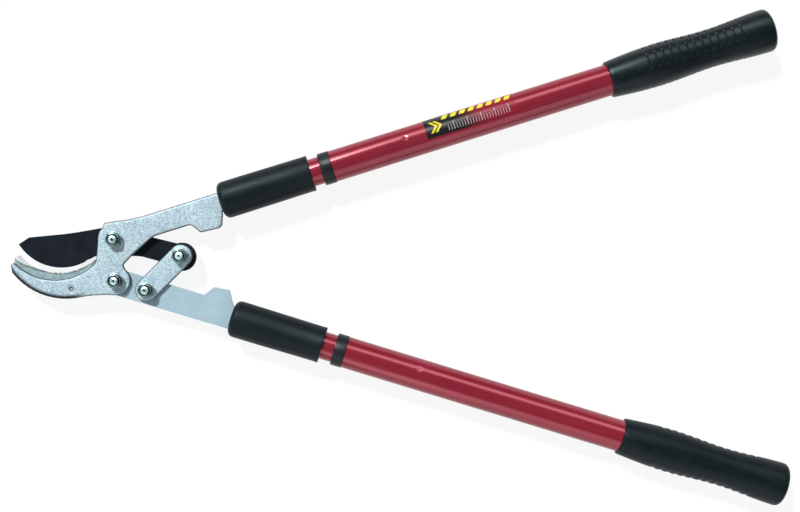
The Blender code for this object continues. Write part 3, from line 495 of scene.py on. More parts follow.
def bright_zinc(name, roughness, centre=(0.0, 0.0, 0.0), rings=(), tone=1.0):
    """Plated steel, with painted shade in dark rings (radius, half width) round a centre, from its height
    upward.
    """
    kit = Finish(name)
    place = kit.coordinates()
    stain = kit.noise(place, 260.0, 4.0, 0.65)
    light = [value * tone for value in finishes().bright_zinc]
    dull = [value * 0.60 for value in light]
    colour = kit.mix(stain.ramp(0.35, 0.62), dull, light)
    # Painted shade: dark rings where a nut's gaps and a bolt's dimple lie in shade.
    if rings:
        _, _, height, reach = kit.around(centre)
        dark = (reach - rings[0][0]).size() < rings[0][1]
        for ring, half_width in rings[1:]:
            dark = dark + ((reach - ring).size() < half_width)
        colour = kit.mix(dark * (height > 0.0), colour, RING_SHADE_COLOUR)
    gloss = stain.ramp(0.3, 0.7, roughness, roughness + 0.16)
    kit.set(Base_Color=colour, Metallic=1.0, Roughness=gloss)
    kit.bump(kit.noise(place, 1800.0, 2.0), 0.00004, 0.4)
    return kit.material


# Near white for the ground band: partly bare ground steel, partly a painted highlight.
GROUND_AND_HIGHLIGHT_COLOUR = (0.93, 0.95, 0.96)
BORDER_COLOUR = (0.06, 0.11, 0.12)
TEAL_DARK = (0.34, 0.52, 0.55)
TEAL_LIGHT = (0.54, 0.73, 0.76)
BORDER_RAGGED = 0.0058
TIP_WIDENING = 0.0034


def ground_steel(name, centre, border):
    """The counter plate: plated, and ground along the blade's edge, painted near white: ground steel and
    painted highlight.

    The ground band ends in a ragged border, an arc with this centre and radius, and widens toward the tip."""
    kit = Finish(name)
    place = kit.coordinates(centre=(*centre, 0.0))
    across, _, _, reach = kit.around((*centre, 0.0))
    ragged = kit.noise(place, 520.0, 4.0, 0.8) - 0.5
    past = reach + ragged * BORDER_RAGGED - border - across.ramp(-0.040, -0.016, TIP_WIDENING, 0.0)
    ground = past.ramp(-0.0002, 0.0002, 1.0, 0.0)
    rim = (past - 0.0003).size().ramp(0.0002, 0.0008, 1.0, 0.0)
    stain = kit.noise(place, 300.0, 3.0, 0.6)
    teal = kit.mix(stain.ramp(0.35, 0.65), TEAL_DARK, TEAL_LIGHT)
    # The ground band is painted near white: partly bare ground steel, partly a painted highlight.
    bright = kit.mix(ground, teal, GROUND_AND_HIGHLIGHT_COLOUR)
    kit.set(
        Base_Color=kit.mix(rim * 0.9, bright, BORDER_COLOUR),
        Metallic=ground.ramp(0.0, 1.0, 0.4, 0.1),
        Roughness=ground.ramp(0.0, 1.0, 0.3, 0.5),
    )
    kit.bump(ragged, 0.0002, 0.5)
    return kit.material


def blade_coating(name):
    """Matt black non-stick coating."""
    kit = Finish(name)
    place = kit.coordinates()
    cloud = kit.noise(place, 90.0, 4.0, 0.6)
    black = finishes().blade_black
    kit.set(
        Base_Color=kit.mix(cloud.ramp(0.3, 0.7), black, [value * 1.5 for value in black]),
        Roughness=cloud.ramp(0.3, 0.7, 0.44, 0.58),
        Specular_IOR_Level=0.09,
    )
    kit.bump(kit.noise(place, 2600.0, 2.0), 0.00005, 0.5)
    return kit.material


def red_enamel(name, side):
    """Glossy enamel with a slight orange peel and faint lines along the tube."""
    kit = Finish(name)
    place = kit.coordinates()
    cloud = kit.noise(place, 30.0, 3.0)
    rubbed = kit.noise(kit.coordinates(turn=ARM_TURN[side], scale=(12.0, 500.0, 500.0)), 1.0, 2.0)
    red = finishes().enamel_red
    light = [value * 1.12 + 0.004 for value in red]
    kit.set(
        Base_Color=kit.mix((cloud * 0.7 + rubbed * 0.5).ramp(0.4, 0.8), red, light),
        Metallic=0.2,
        Roughness=rubbed.ramp(0.3, 0.7, 0.14, 0.20),
        Specular_IOR_Level=0.55,
    )
    kit.bump(kit.noise(place, 700.0, 2.0), 0.00003, 0.35)
    return kit.material


def black_rubber(name, side, gloss, shine=0.18):
    """Satin rubber with a fine grain and handling marks, with painted shade in a grip's grooves."""
    kit = Finish(name)
    place = kit.coordinates()
    cloud = kit.noise(place, 70.0, 4.0, 0.6)
    rubbed = kit.noise(kit.coordinates(turn=ARM_TURN[side], scale=(30.0, 260.0, 260.0)), 1.0, 3.0)
    black = finishes().rubber_black
    worn = kit.mix((cloud * 0.6 + rubbed * 0.5).ramp(0.35, 0.8), black, [value * 1.8 for value in black])
    groove = Signal(kit, kit.node("Attribute", {"attribute_name": GROOVE_SHADE_MARK}).outputs["Fac"])
    kit.set(
        # Painted shade: the grooves are darkened as if they lie in shade.
        Base_Color=kit.mix(groove * 0.8, worn, (0.001, 0.0015, 0.0015)),
        Roughness=(cloud * 0.5 + rubbed * 0.5 + groove * 0.5).ramp(0.3, 0.9, gloss, gloss + 0.22),
        Specular_IOR_Level=shine,
        Specular_Tint=(0.72, 0.93, 1.0, 1.0),
    )
    kit.bump(kit.noise(place, 3200.0, 2.0, 0.6), 0.00006, 0.5)
    return kit.material


def moulded_plastic(name, colour, roughness):
    """Hard moulded plastic with a slight mottle."""
    kit = Finish(name)
    place = kit.coordinates()
    cloud = kit.noise(place, 120.0, 3.0)
    kit.set(
        Base_Color=kit.mix(cloud.ramp(0.3, 0.7), colour, [value * 1.4 for value in colour]),
        Roughness=cloud.ramp(0.3, 0.7, roughness, roughness + 0.12),
        Specular_IOR_Level=0.28,
    )
    kit.bump(kit.noise(place, 2200.0, 2.0), 0.00004, 0.4)
    return kit.material


def printed_film(name, long, wide):
    """The label, laid out in millimetres along and round the tube.

    It is black that fades into the tube's red, with yellow stripes, an arrow mark and grey ticks."""
    kit = Finish(name)
    along, round_tube, _ = kit.axes(kit.coordinates("UV"))
    x = along * (long * 1000.0)
    y = round_tube * (wide * 1000.0)
    grain = kit.noise(kit.coordinates(), 900.0, 2.0)
    black = (x + y * 0.35 + grain * 3.0).ramp(34.0, 62.0, 1.0, 0.0)
    red = finishes().enamel_red
    paper = kit.mix(black, red, (0.010, 0.009, 0.010))
    slant = x - y * 0.45
    stripes = slant.part(8.2).between(0.12, 0.72) * y.between(14.6, 20.6) * slant.between(8.2, 73.0)
    reach = x + (y - 9.6).size() * 0.9
    arrow = (reach.between(9.0, 11.4) + reach.between(13.0, 15.4)) * (y - 9.6).size().between(-1.0, 5.6)
    tall = x.part(12.5).between(0.0, 0.06)
    ticks = x.part(2.5).between(0.0, 0.28) * x.between(20.0, 77.5)
    ticks = ticks * y.between(2.2, 7.0) + tall * x.between(20.0, 77.5) * y.between(2.2, 10.0)
    printed = kit.mix(stripes + arrow, paper, finishes().label_yellow)
    kit.set(
        Base_Color=kit.mix(ticks * 0.8, printed, (0.52, 0.47, 0.50)),
        Roughness=0.26,
        Specular_IOR_Level=0.33,
    )
    kit.bump(grain, 0.00003, 0.3)
    return kit.material


def dress(piece, material):
    """Gives a piece one material and nothing else."""
    piece.data.materials.clear()
    piece.data.materials.append(material)


def hand_over(piece, material, body, slot, *nodes):
    """Finishes a new piece: its material, the body it rides on, and the solids that it stands for."""
    dress(piece, material)
    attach(piece, body)
    if nodes:
        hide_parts(*nodes)


def install(piece, place, material, body, slot, *nodes, sharp=32.0):
    """Puts a new piece in its place, smooths it below this angle and hands it over."""
    settle(piece, place)
    smooth(piece, sharp)
    hand_over(piece, material, body, slot, *nodes)


CHAMFER = 0.0012
NUT_REACH = 0.0060
ROUNDING_DROP = 0.75
JAW_ARC_CENTRE = Vector((-0.0427, 0.0080))
JAW_ARC_RADIUS = 0.0603
GROUND_CENTRE = Vector((-0.0498, 0.0199))
GROUND_BORDER = 0.0497


def rounded_plate(name, node, shoulder):
    """A copy of a plate's solid, merged, with the chamfer at its front rims widened to a rounding."""
    piece = bpy.data.objects.new(name, NODES[node].data.copy())
    bpy.context.scene.collection.objects.link(piece)
    edit(piece)
    bpy.ops.mesh.select_all(action="SELECT")
    bpy.ops.mesh.remove_doubles(threshold=1e-6)
    bpy.ops.mesh.dissolve_limited(angle_limit=math.radians(1.0), delimit={"NORMAL"})
    bpy.ops.mesh.quads_convert_to_tris(quad_method="BEAUTY", ngon_method="BEAUTY")
    leave_edit()
    top = max(point.co.z for point in piece.data.vertices) - 1e-5
    bolts = [middle(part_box(f"{pivot}_nut")).xy for pivot in PIVOT_BODY]
    select_points(piece)
    for face in piece.data.polygons:
        face.select = face.center.z > top
    edit(piece, "FACE")
    bpy.ops.mesh.inset(thickness=shoulder, depth=0.0, use_boundary=True)
    leave_edit()
    inner = {index for face in piece.data.polygons if face.select for index in face.vertices}
    select_points(
        piece,
        lambda point: point.co.z > top - CHAMFER
        and point.index not in inner
        and min((point.co.xy - bolt).length for bolt in bolts) > NUT_REACH,
    )
    edit(piece)
    bpy.ops.transform.translate(value=(0.0, 0.0, -ROUNDING_DROP * shoulder))
    leave_edit()
    smooth(piece, 46.0)
    apply_modifier(piece, "WEIGHTED_NORMAL", keep_sharp=True)
    return piece


class LOPPER_OT_head(bpy.types.Operator):
    """Finishes the plates of the cutting head."""

    bl_idname = "lopper.head"
    bl_label = "Cutting Head"

    def execute(self, context):
        rounding = sizes().edge_rounding
        hook = rounded_plate("hooked_jaw", "hook_plate", rounding)
        pivot = Vector(JOINTS["blade_pivot"]["pos_m"]).xy
        jaw = (pivot + JAW_ARC_CENTRE, JAW_ARC_RADIUS)
        hand_over(hook, spangled_zinc("hook zinc", jaw), "root", "spangled_zinc", "hook_plate")
        link = rounded_plate("drive_link", "link", rounding)
        hand_over(link, spangled_zinc("link zinc"), "link_body", "spangled_zinc", "link")
        dress(NODES["lower_handle_plate"], pale_steel("lower plate steel", ARM_TURN["lower"]))
        dress(NODES["blade"], blade_coating("blade coating"))
        ground = ground_steel("counter plate steel", pivot + GROUND_CENTRE, GROUND_BORDER)
        dress(NODES["counter_plate"], ground)
        return {"FINISHED"}


RIVET_SIDES = 32


class LOPPER_OT_rivet(bpy.types.Operator):
    """Makes the dimpled rivet that holds the counter plate."""

    bl_idname = "lopper.rivet"
    bl_label = "Counter Plate Rivet"

    def execute(self, context):
        low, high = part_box("counter_rivet")
        height = high.z - low.z
        radius = (high.x - low.x) / 2
        stations = [
            (0.0, radius),
            (height - 0.0001, radius),
            (height, 0.94 * radius),
            (height, 0.74 * radius),
            (height - 0.0006, 0.60 * radius),
            (height - 0.0013, 0.36 * radius),
            (height - 0.0014, 0.12 * radius),
        ]
        rivet = turned("jaw_rivet", stations, RIVET_SIDES)
        place = standing((*middle((low, high)).xy, low.z))
        # The wider slope range paints the rivet's dimple walls dark as painted shade.
        zinc = spangled_zinc("rivet zinc", steep=0.64, flat=0.94)
        install(rivet, place, zinc, "root", "spangled_zinc", "counter_rivet")
        return {"FINISHED"}


FASTENER_TURN = math.radians(15.0)
ACROSS_FLATS = 0.0130
NUT_COLLAR_RADIUS = 0.0058
NUT_COLLAR_HEIGHT = 0.0024
NUT_COLLAR_ROUNDING = 0.0008
NUT_INSERT_RADIUS = 0.0048
BOLT_RADIUS = 0.0039
BOLT_HOLE = 0.0042
BOLT_HEAD_HEIGHT = 0.0053
TURNED_SHARE = 0.95
TURNED_DROP = 0.0009
TURNED_SLOPE = 1.73
CUT_PAST = 0.001
WASHER_ROUNDING = 0.0002
FASTENER_SIDES = 48
# Rings of painted shade: a nut's bore gap and collar step, a bolt's dimple and the gap round its end.
NUT_SHADE_RINGS = ((0.0044, 0.0005), (0.0060, 0.00025))
BOLT_SHADE_RINGS = ((0.0, 0.0009), (0.0041, 0.0005))


def join_turned(piece, name, stations, operation, hollow=False):
    """A Boolean with an upright body that is turned for it."""
    other = turned(name, stations, FASTENER_SIDES, hollow)
    settle(other, standing())
    join_by(piece, other, operation)


def hexagon_body(name, low, high, turned_low, turned_high):
    """A hexagon between two heights, with its corners turned off at one or both ends."""
    deselect()
    corner = ACROSS_FLATS / math.sqrt(3)
    bpy.ops.mesh.primitive_cylinder_add(
        vertices=6,
        radius=corner,
        depth=high - low,
        location=(0.0, 0.0, (low + high) / 2),
        rotation=(0.0, 0.0, math.radians(30.0) + FASTENER_TURN),
    )
    body = added(name)
    bpy.ops.object.transform_apply()
    narrow = TURNED_SHARE * ACROSS_FLATS / 2
    wide = narrow + TURNED_SLOPE * TURNED_DROP
    clear = 1.2 * corner
    stations = [
        (low, narrow if turned_low else clear),
        (low + TURNED_DROP, wide if turned_low else clear),
        (high - TURNED_DROP, wide if turned_high else clear),
        (high, narrow if turned_high else clear),
    ]
    join_turned(body, "corner cutter", stations, "INTERSECT")
    return body


def lock_nut(name, low, high):
    """A lock nut: a hexagon, and a rounded collar with the lip that holds its insert."""
    nut = hexagon_body(name, low, high - NUT_COLLAR_HEIGHT, False, True)
    round_start = high - NUT_COLLAR_ROUNDING
    round_centre = (round_start, NUT_COLLAR_RADIUS - NUT_COLLAR_ROUNDING)
    ring = [
        (low + CUT_PAST, 0.8 * NUT_COLLAR_RADIUS),
        (low + CUT_PAST, NUT_COLLAR_RADIUS),
        (round_start, NUT_COLLAR_RADIUS),
        *quarter(round_centre, NUT_COLLAR_ROUNDING, 90.0, 0.0, 4)[1:],
        (high, NUT_INSERT_RADIUS + 0.0002),
        (high - 0.0007, NUT_INSERT_RADIUS),
        (high - 0.0009, BOLT_HOLE),
        (high - 0.002, BOLT_HOLE),
    ]
    join_turned(nut, "nut collar", ring, "UNION", hollow=True)
    hole = [(low - CUT_PAST, BOLT_HOLE), (high + CUT_PAST, BOLT_HOLE)]
    join_turned(nut, "nut bore", hole, "DIFFERENCE")
    return nut


def hexagon_bolt(name, low, high):
    """A bolt from its head at the rear to its domed and dimpled end."""
    bolt = hexagon_body(name, low, low + BOLT_HEAD_HEIGHT, True, False)
    rod = [
        (low + CUT_PAST, BOLT_RADIUS),
        (high - 0.0012, BOLT_RADIUS),
        (high - 0.0006, 0.90 * BOLT_RADIUS),
        (high - 0.0003, 0.76 * BOLT_RADIUS),
        (high - 0.0001, 0.50 * BOLT_RADIUS),
        (high, 0.28 * BOLT_RADIUS),
        (high - 0.0003, 0.22 * BOLT_RADIUS),
        (high - 0.0012, 0.16 * BOLT_RADIUS),
    ]
    join_turned(bolt, "bolt rod", rod, "UNION")
    return bolt


def washer_ring(name, node):
    """A washer or spacer with broken edges, as high and as wide as its solid."""
    low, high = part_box(node)
    outer = (high.x - low.x) / 2
    profile = [
        (low.z, BOLT_HOLE),
        (low.z, outer - WASHER_ROUNDING),
        (low.z + WASHER_ROUNDING, outer),
        (high.z - WASHER_ROUNDING, outer),
        (high.z, outer - WASHER_ROUNDING),
        (high.z, BOLT_HOLE),
    ]
    return turned(name, profile, FASTENER_SIDES, hollow=True)


class LOPPER_OT_pivots(bpy.types.Operator):
    """Makes the bolt, lock nut and washer of each pivot."""

    bl_idname = "lopper.pivots"
    bl_label = "Pivots"

    def execute(self, context):
        nut_low, nut_high = (corner.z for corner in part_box("blade_pivot_nut"))
        for pivot, body in PIVOT_BODY.items():
            centre = Vector((*middle(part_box(f"{pivot}_nut")).xy, 0.0))
            shade_centre = (*centre.xy, nut_high - NUT_COLLAR_HEIGHT - CUT_PAST)

            nut = lock_nut(f"{pivot}_lock_nut", nut_low, nut_high)
            zinc = bright_zinc(f"{pivot} nut zinc", 0.24, shade_centre, NUT_SHADE_RINGS, 0.5)
            install(nut, Matrix.Translation(centre), zinc, body, "bright_zinc", f"{pivot}_nut")

            bolt_low, bolt_high = (corner.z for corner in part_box(f"{pivot}_bolt"))
            bolt = hexagon_bolt(f"{pivot}_hex_bolt", bolt_low, bolt_high)
            zinc = bright_zinc(f"{pivot} bolt zinc", 0.34, shade_centre, BOLT_SHADE_RINGS)
            install(bolt, Matrix.Translation(centre), zinc, body, "bright_zinc", f"{pivot}_bolt")

            rings = (f"{pivot}_washer", f"{pivot}_spacer")
            for node in (ring for ring in rings if ring in NODES):
                washer = washer_ring(f"{node}_ring", node)
                zinc = bright_zinc(f"{node} zinc", 0.26)
                install(washer, standing(centre), zinc, body, "bright_zinc", node)
        return {"FINISHED"}


SLEEVE_LENGTH = 0.0835
SLEEVE_WALL = 0.0030
SLEEVE_TAPER = 0.0005
SLEEVE_ROUNDING = 0.0055
SLEEVE_GLOSS = 0.42
INNER_RADIUS = 0.0122
RUNNING_GAP = 0.0003
TANG_SLOT = {
    "upper": ((-0.0091, -0.00015), (0.0083, 0.00445)),
    "lower": ((-0.0091, -0.00395), (0.0091, 0.00015)),
}


def front_sleeve(side):
    """The rounded sleeve of an arm, with the slot that the tang goes into."""
    front = sizes().sleeve_radius
    rear = front - SLEEVE_TAPER
    bore = INNER_RADIUS + RUNNING_GAP
    stations = [
        *quarter((SLEEVE_ROUNDING, front - SLEEVE_ROUNDING), SLEEVE_ROUNDING, 180.0, 90.0, 9),
        (0.030, front - 0.0001),
        (SLEEVE_LENGTH - 0.0024, rear),
        (SLEEVE_LENGTH - 0.0018, rear + 0.0002),
        (SLEEVE_LENGTH - 0.0004, rear + 0.0002),
        (SLEEVE_LENGTH, rear - 0.0003),
        (SLEEVE_LENGTH, bore),
        (SLEEVE_WALL, bore),
    ]
    sleeve = turned(f"{side}_front_sleeve", stations, sizes().turned_sides)
    (low_y, low_z), (high_y, high_z) = TANG_SLOT[side]
    deselect()
    bpy.ops.mesh.primitive_cube_add(
        size=1.0,
        location=(0.0, (low_y + high_y) / 2, (low_z + high_z) / 2),
        scale=(4 * SLEEVE_WALL, high_y - low_y, high_z - low_z),
    )
    join_by(sleeve, bpy.context.object, "DIFFERENCE")
    rubber = black_rubber(f"{side} sleeve rubber", side, SLEEVE_GLOSS)
    install(sleeve, ARM[side], rubber, ARM_BODY[side], "black_rubber", f"{side}_sleeve")


class LOPPER_OT_sleeves(bpy.types.Operator):
    """Makes the rounded sleeve at the front of each arm."""

    bl_idname = "lopper.sleeves"
    bl_label = "Sleeves"

    def execute(self, context):
        for side in SIDES:
            front_sleeve(side)
        return {"FINISHED"}


OUTER_START = 0.1038
OUTER_END = 0.5035
OUTER_WALL = 0.0008
INNER_START = 0.0033
INNER_END = 0.4709
INNER_WALL = 0.0010
COLLAR_SHIFT = {"upper": -0.0004, "lower": 0.0011}
COLLAR_START = 0.0935
COLLAR_END = 0.1035
COLLAR_RADIUS = 0.0144
BUSH_END = 0.1755
DIMPLE_AT = 0.1712
DIMPLE_TURN = {"upper": math.radians(13.0), "lower": math.radians(25.0)}
DIMPLE_RADIUS = 0.0027
DIMPLE_STEP = 0.0006
DIMPLE_RINGS = ((1.0, 0.00007), (0.8, 0.00010), (0.6, 0.00008), (0.4, 0.00004))


def slim_tube(side):
    """The inner tube of an arm, open at both ends."""
    bore = INNER_RADIUS - INNER_WALL
    profile = [(INNER_START, bore), (INNER_START, INNER_RADIUS), (INNER_END, INNER_RADIUS), (INNER_END, bore)]
    tube = turned(f"{side}_slim_tube", profile, sizes().turned_sides, hollow=True)
    enamel = red_enamel(f"{side} slim tube enamel", side)
    install(tube, ARM[side], enamel, ARM_BODY[side], "red_enamel", f"{side}_inner_tube")


def collar_bush(side):
    """The guide bush of an arm, with its collar at the mouth of the outer tube."""
    bore = INNER_RADIUS + RUNNING_GAP
    fit = sizes().tube_radius - OUTER_WALL - RUNNING_GAP
    front = COLLAR_START + COLLAR_SHIFT[side]
    rear = COLLAR_END + COLLAR_SHIFT[side]
    profile = [
        (front, bore),
        (front, COLLAR_RADIUS - 0.0007),
        (front + 0.0002, COLLAR_RADIUS - 0.0002),
        (front + 0.0007, COLLAR_RADIUS),
        (rear - 0.0002, COLLAR_RADIUS),
        (rear, COLLAR_RADIUS - 0.0002),
        (rear, fit),
        (BUSH_END, fit),
        (BUSH_END, bore),
    ]
    bush = turned(f"{side}_collar_bush", profile, sizes().turned_sides, hollow=True)
    plastic = moulded_plastic(f"{side} bush plastic", finishes().rubber_black, 0.34)
    install(bush, ARM[side], plastic, f"{side}_outer", "black_plastic", f"{side}_guide_bush")


def wide_tube(side):
    """The outer tube of an arm, with the round dimple that pins the bush."""
    outer = sizes().tube_radius
    bore = outer - OUTER_WALL
    front = OUTER_START + COLLAR_SHIFT[side]
    profile = [
        (front, bore),
        (front, outer - 0.00015),
        (front + 0.00015, outer),
        *[(DIMPLE_AT + step * DIMPLE_STEP, outer) for step in range(-7, 8)],
        (OUTER_END, outer),
        (OUTER_END, bore),
    ]
    tube = turned(f"{side}_wide_tube", profile, sizes().turned_sides, hollow=True)
    way = Vector((0.0, math.sin(DIMPLE_TURN[side]), math.cos(DIMPLE_TURN[side])))
    centre = Vector((DIMPLE_AT, 0.0, 0.0)) + way * outer
    for reach, depth in DIMPLE_RINGS:
        limit = reach * DIMPLE_RADIUS
        select_points(tube, lambda point: (point.co - centre).length < limit and outside(point, bore))
        edit(tube)
        bpy.ops.transform.translate(value=-way * depth)
        leave_edit()
    enamel = red_enamel(f"{side} wide tube enamel", side)
    install(tube, ARM[side], enamel, f"{side}_outer", "red_enamel", f"{side}_outer_tube")


class LOPPER_OT_tubes(bpy.types.Operator):
    """Makes the inner tube, the guide bush and the outer tube of each arm."""

    bl_idname = "lopper.tubes"
    bl_label = "Tubes"

    def execute(self, context):
        for side in SIDES:
            slim_tube(side)
            collar_bush(side)
            wide_tube(side)
        return {"FINISHED"}


GRIP_START = 0.3584
GRIP_LENGTH = 0.1499
GRIP_LIP = 0.0160
BELLY_AT = 0.0450
WAIST_AT = 0.0935
FLARE_AT = 0.1460
GRIP_ROUNDING = 0.0045
GRIP_END_WALL = 0.0045
GROOVES = [0.0349 + 0.0071 * i for i in range(13)]
GROOVE_HALF = 0.0009
GROOVE_STATIONS = (-2.5, -1.2, -0.35, 0.35, 1.2, 2.5)
GROOVE_STEPS = (1.0, 0.9, 0.8)
BETWEEN_GROOVES = 0.00355
PLAIN_STATIONS = (0.0008, 0.004, 0.010, 0.018, 0.026, 0.127, 0.132, 0.138, 0.142)
BANKS = {
    "upper": ((13.0, 26.0, 1.0), (193.0, 26.0, 1.0), (80.0, 28.0, 1.6), (260.0, 28.0, 1.2)),
    "lower": ((99.0, 30.0, 0.6), (279.0, 30.0, 0.7)),
}
GROOVE_FLOOR = {"upper": 0.5, "lower": 1.3}
GROOVE_SHADE = {"upper": 1.0, "lower": 0.2}
GRIP_GLOSS = {"upper": 0.27, "lower": 0.38}
GRIP_SHINE = {"upper": 0.25, "lower": 0.16}


def grip_radius(along):
    """The grip's outer radius at a distance from its front end."""
    belly, waist, flare = sizes().grip_belly, sizes().grip_waist, sizes().grip_flare
    if along < BELLY_AT:
        return GRIP_LIP + (belly - GRIP_LIP) * math.sin(math.pi / 2 * along / BELLY_AT)
    if along < WAIST_AT:
        share = (along - BELLY_AT) / (WAIST_AT - BELLY_AT)
        return waist + (belly - waist) * (1 + math.cos(math.pi * share)) / 2
    share = min(1.0, (along - WAIST_AT) / (FLARE_AT - WAIST_AT))
    return waist + (flare - waist) * (1 - math.cos(math.pi * share)) / 2


def in_groove(point, side, bank, half_width, bore):
    """Whether a point of a grip lies in a groove of the bank with this bearing and half width in degrees."""
    away = min(abs(point.co.x - GRIP_START - groove) for groove in GROOVES)
    bearing = math.degrees(math.atan2(point.co.y, point.co.z))
    off = abs((bearing - bank + 180.0) % 360.0 - 180.0)
    return away < GROOVE_FLOOR[side] * GROOVE_HALF and off < half_width and outside(point, bore)


def grip_profile(bore):
    """The stations of a grip, from its flared end to its front and back through the bore."""
    plain = list(PLAIN_STATIONS)
    for groove in GROOVES:
        plain += [groove + share * GROOVE_HALF for share in GROOVE_STATIONS]
        plain.append(groove + BETWEEN_GROOVES)
    round_start = GRIP_LENGTH - GRIP_ROUNDING
    profile = [
        (0.0, bore),
        (0.0, GRIP_LIP - 0.0008),
        (0.0002, GRIP_LIP - 0.0002),
        *[(station, grip_radius(station)) for station in sorted(plain) if station < round_start],
        *quarter((round_start, sizes().grip_flare - GRIP_ROUNDING), GRIP_ROUNDING, 90.0, 0.0, 8),
    ]
    profile = [(GRIP_START + along, radius) for along, radius in reversed(profile)]
    return [*profile, (GRIP_START + GRIP_LENGTH - GRIP_END_WALL, bore)]


def hand_grip(side):
    """The grip of an arm, with grooves that sink in steps and that painted shade darkens."""
    bore = sizes().tube_radius + RUNNING_GAP
    grip = turned(f"{side}_hand_grip", grip_profile(bore), sizes().turned_sides)
    marks = [0.0] * len(grip.data.vertices)
    for bank, half_width, share in BANKS[side]:
        step = share / len(GROOVE_STEPS)
        for reach in GROOVE_STEPS:
            width = reach * half_width
            select_points(grip, lambda point: in_groove(point, side, bank, width, bore))
            shade = step * GROOVE_SHADE[side]
            marks = [mark + shade * point.select for mark, point in zip(marks, grip.data.vertices)]
            edit(grip)
            bpy.ops.transform.shrink_fatten(value=-step * sizes().groove_depth)
            leave_edit()
    grip.data.attributes.new(GROOVE_SHADE_MARK, "FLOAT", "POINT").data.foreach_set("value", marks)
    rubber = black_rubber(f"{side} grip rubber", side, GRIP_GLOSS[side], GRIP_SHINE[side])
    install(grip, ARM[side], rubber, f"{side}_outer", "black_rubber", f"{side}_grip", sharp=50.0)


class LOPPER_OT_grips(bpy.types.Operator):
    """Makes the grip of each arm, with its banks of finger grooves."""

    bl_idname = "lopper.grips"
    bl_label = "Grips"

    def execute(self, context):
        for side in SIDES:
            hand_grip(side)
        return {"FINISHED"}


LABEL_START = 0.1904
LABEL_LOW = math.radians(-16.0)
LABEL_HIGH = math.radians(95.0)
LABEL_TURN = LABEL_HIGH - LABEL_LOW
LABEL_STEPS = 12
LABEL_SIDES = 240
FILM = 0.00008


class LOPPER_OT_label(bpy.types.Operator):
    """Wraps the printed film round the upper outer tube."""

    bl_idname = "lopper.label"
    bl_label = "Label"

    def execute(self, context):
        radius = sizes().tube_radius + FILM
        long = sizes().label_length
        profile = [(LABEL_START + long * step / LABEL_STEPS, radius) for step in range(LABEL_STEPS + 1)]
        film = turned("upper_label_film", profile, LABEL_SIDES)
        select_points(film, lambda point: not LABEL_LOW < math.atan2(point.co.y, point.co.z) < LABEL_HIGH)
        edit(film)
        bpy.ops.mesh.delete(type="VERT")
        leave_edit()
        layer = film.data.uv_layers.active.data
        for loop in film.data.loops:
            point = film.data.vertices[loop.vertex_index].co
            bearing = math.atan2(point.y, point.z)
            layer[loop.index].uv = ((point.x - LABEL_START) / long, (bearing - LABEL_LOW) / LABEL_TURN)
        apply_modifier(film, "SOLIDIFY", thickness=FILM, offset=1.0)
        print_on = printed_film("label print", long, LABEL_TURN * radius)
        install(film, ARM["upper"], print_on, "upper_outer", "red_enamel")
        return {"FINISHED"}


class LOPPER_OT_inside(bpy.types.Operator):
    """Finishes what is inside the arms: plugs, rivets and twist locks."""

    bl_idname = "lopper.inside"
    bl_label = "Inside the Arms"

    def execute(self, context):
        for side in SIDES:
            for part in ("tang_rivet_1", "tang_rivet_2", "lock_cone", "lock_clip"):
                dress(NODES[f"{side}_{part}"], bright_zinc(f"{side} {part} zinc", 0.24))
            for part in ("tang_plug", "lock_stem"):
                grey = moulded_plastic(f"{side} {part} plastic", finishes().plastic_grey, 0.45)
                dress(NODES[f"{side}_{part}"], grey)
            black = moulded_plastic(f"{side} expander plastic", finishes().rubber_black, 0.4)
            dress(NODES[f"{side}_lock_expander"], black)
        return {"FINISHED"}


KEY_WAY = (-0.33, 0.58, 0.745)
FILL_PLACE = (0.3, -1.6, 0.62)
FILL_SIZE = 1.8
STRIP_LOW = math.radians(33.0)
STRIP_HIGH = math.radians(50.0)
STRIP_SOFTNESS = math.radians(9.0)
WINDOW_WAY = (-0.62, -0.56, 0.55)
FLOOR_SIZE = 30.0
FLOOR_DROP = 0.0002
FLOOR_COLOUR = (0.86, 0.87, 0.88, 1.0)
FLOOR_GLOW = 1.06
FLOOR_SHOWN = 0.84
WHITE = (1.0, 1.0, 1.0, 1.0)
CAMERA_PLACE = (0.0002, 0.0012)
SENSOR_WIDTH = 36.0


def ray_kinds(kit):
    """One for rays from the camera, and one for those that gloss or glass sends on."""
    path = kit.node("LightPath")
    passed_on = Signal(kit, path.outputs["Is Glossy Ray"]) + Signal(kit, path.outputs["Is Transmission Ray"])
    return Signal(kit, path.outputs["Is Camera Ray"]), passed_on.math("MINIMUM", 1.0)


def toward(direction, way):
    """How far a direction points a certain way."""
    return direction[0] * way[0] + direction[1] * way[1] + direction[2] * way[2]


def facing_back(place):
    """The turn of a lamp in a place, so that it faces the middle of the scene."""
    return (-Vector(place)).to_track_quat("-Z", "Y").to_euler()


def white_floor():
    """A pale floor that keeps shadows, and that the camera and gloss see as nearly white."""
    bpy.ops.mesh.primitive_plane_add(size=FLOOR_SIZE, location=(0.0, 0.0, -FLOOR_DROP))
    floor = added("studio_floor")
    kit = Finish("floor white")
    seen, passed_on = ray_kinds(kit)
    shown = (seen + passed_on).math("MINIMUM", 1.0) * FLOOR_SHOWN
    glow = kit.node("Emission", Color=WHITE, Strength=FLOOR_GLOW)
    kit.set(Base_Color=FLOOR_COLOUR, Roughness=0.9, Specular_IOR_Level=0.0)
    blend = kit.node("MixShader")
    for socket, source in zip(blend.inputs, (shown, kit.shader.outputs[0], glow.outputs[0])):
        kit.feed(socket, source)
    kit.feed(kit.tree.nodes["Material Output"].inputs["Surface"], blend.outputs[0])
    dress(floor, kit.material)
    return floor


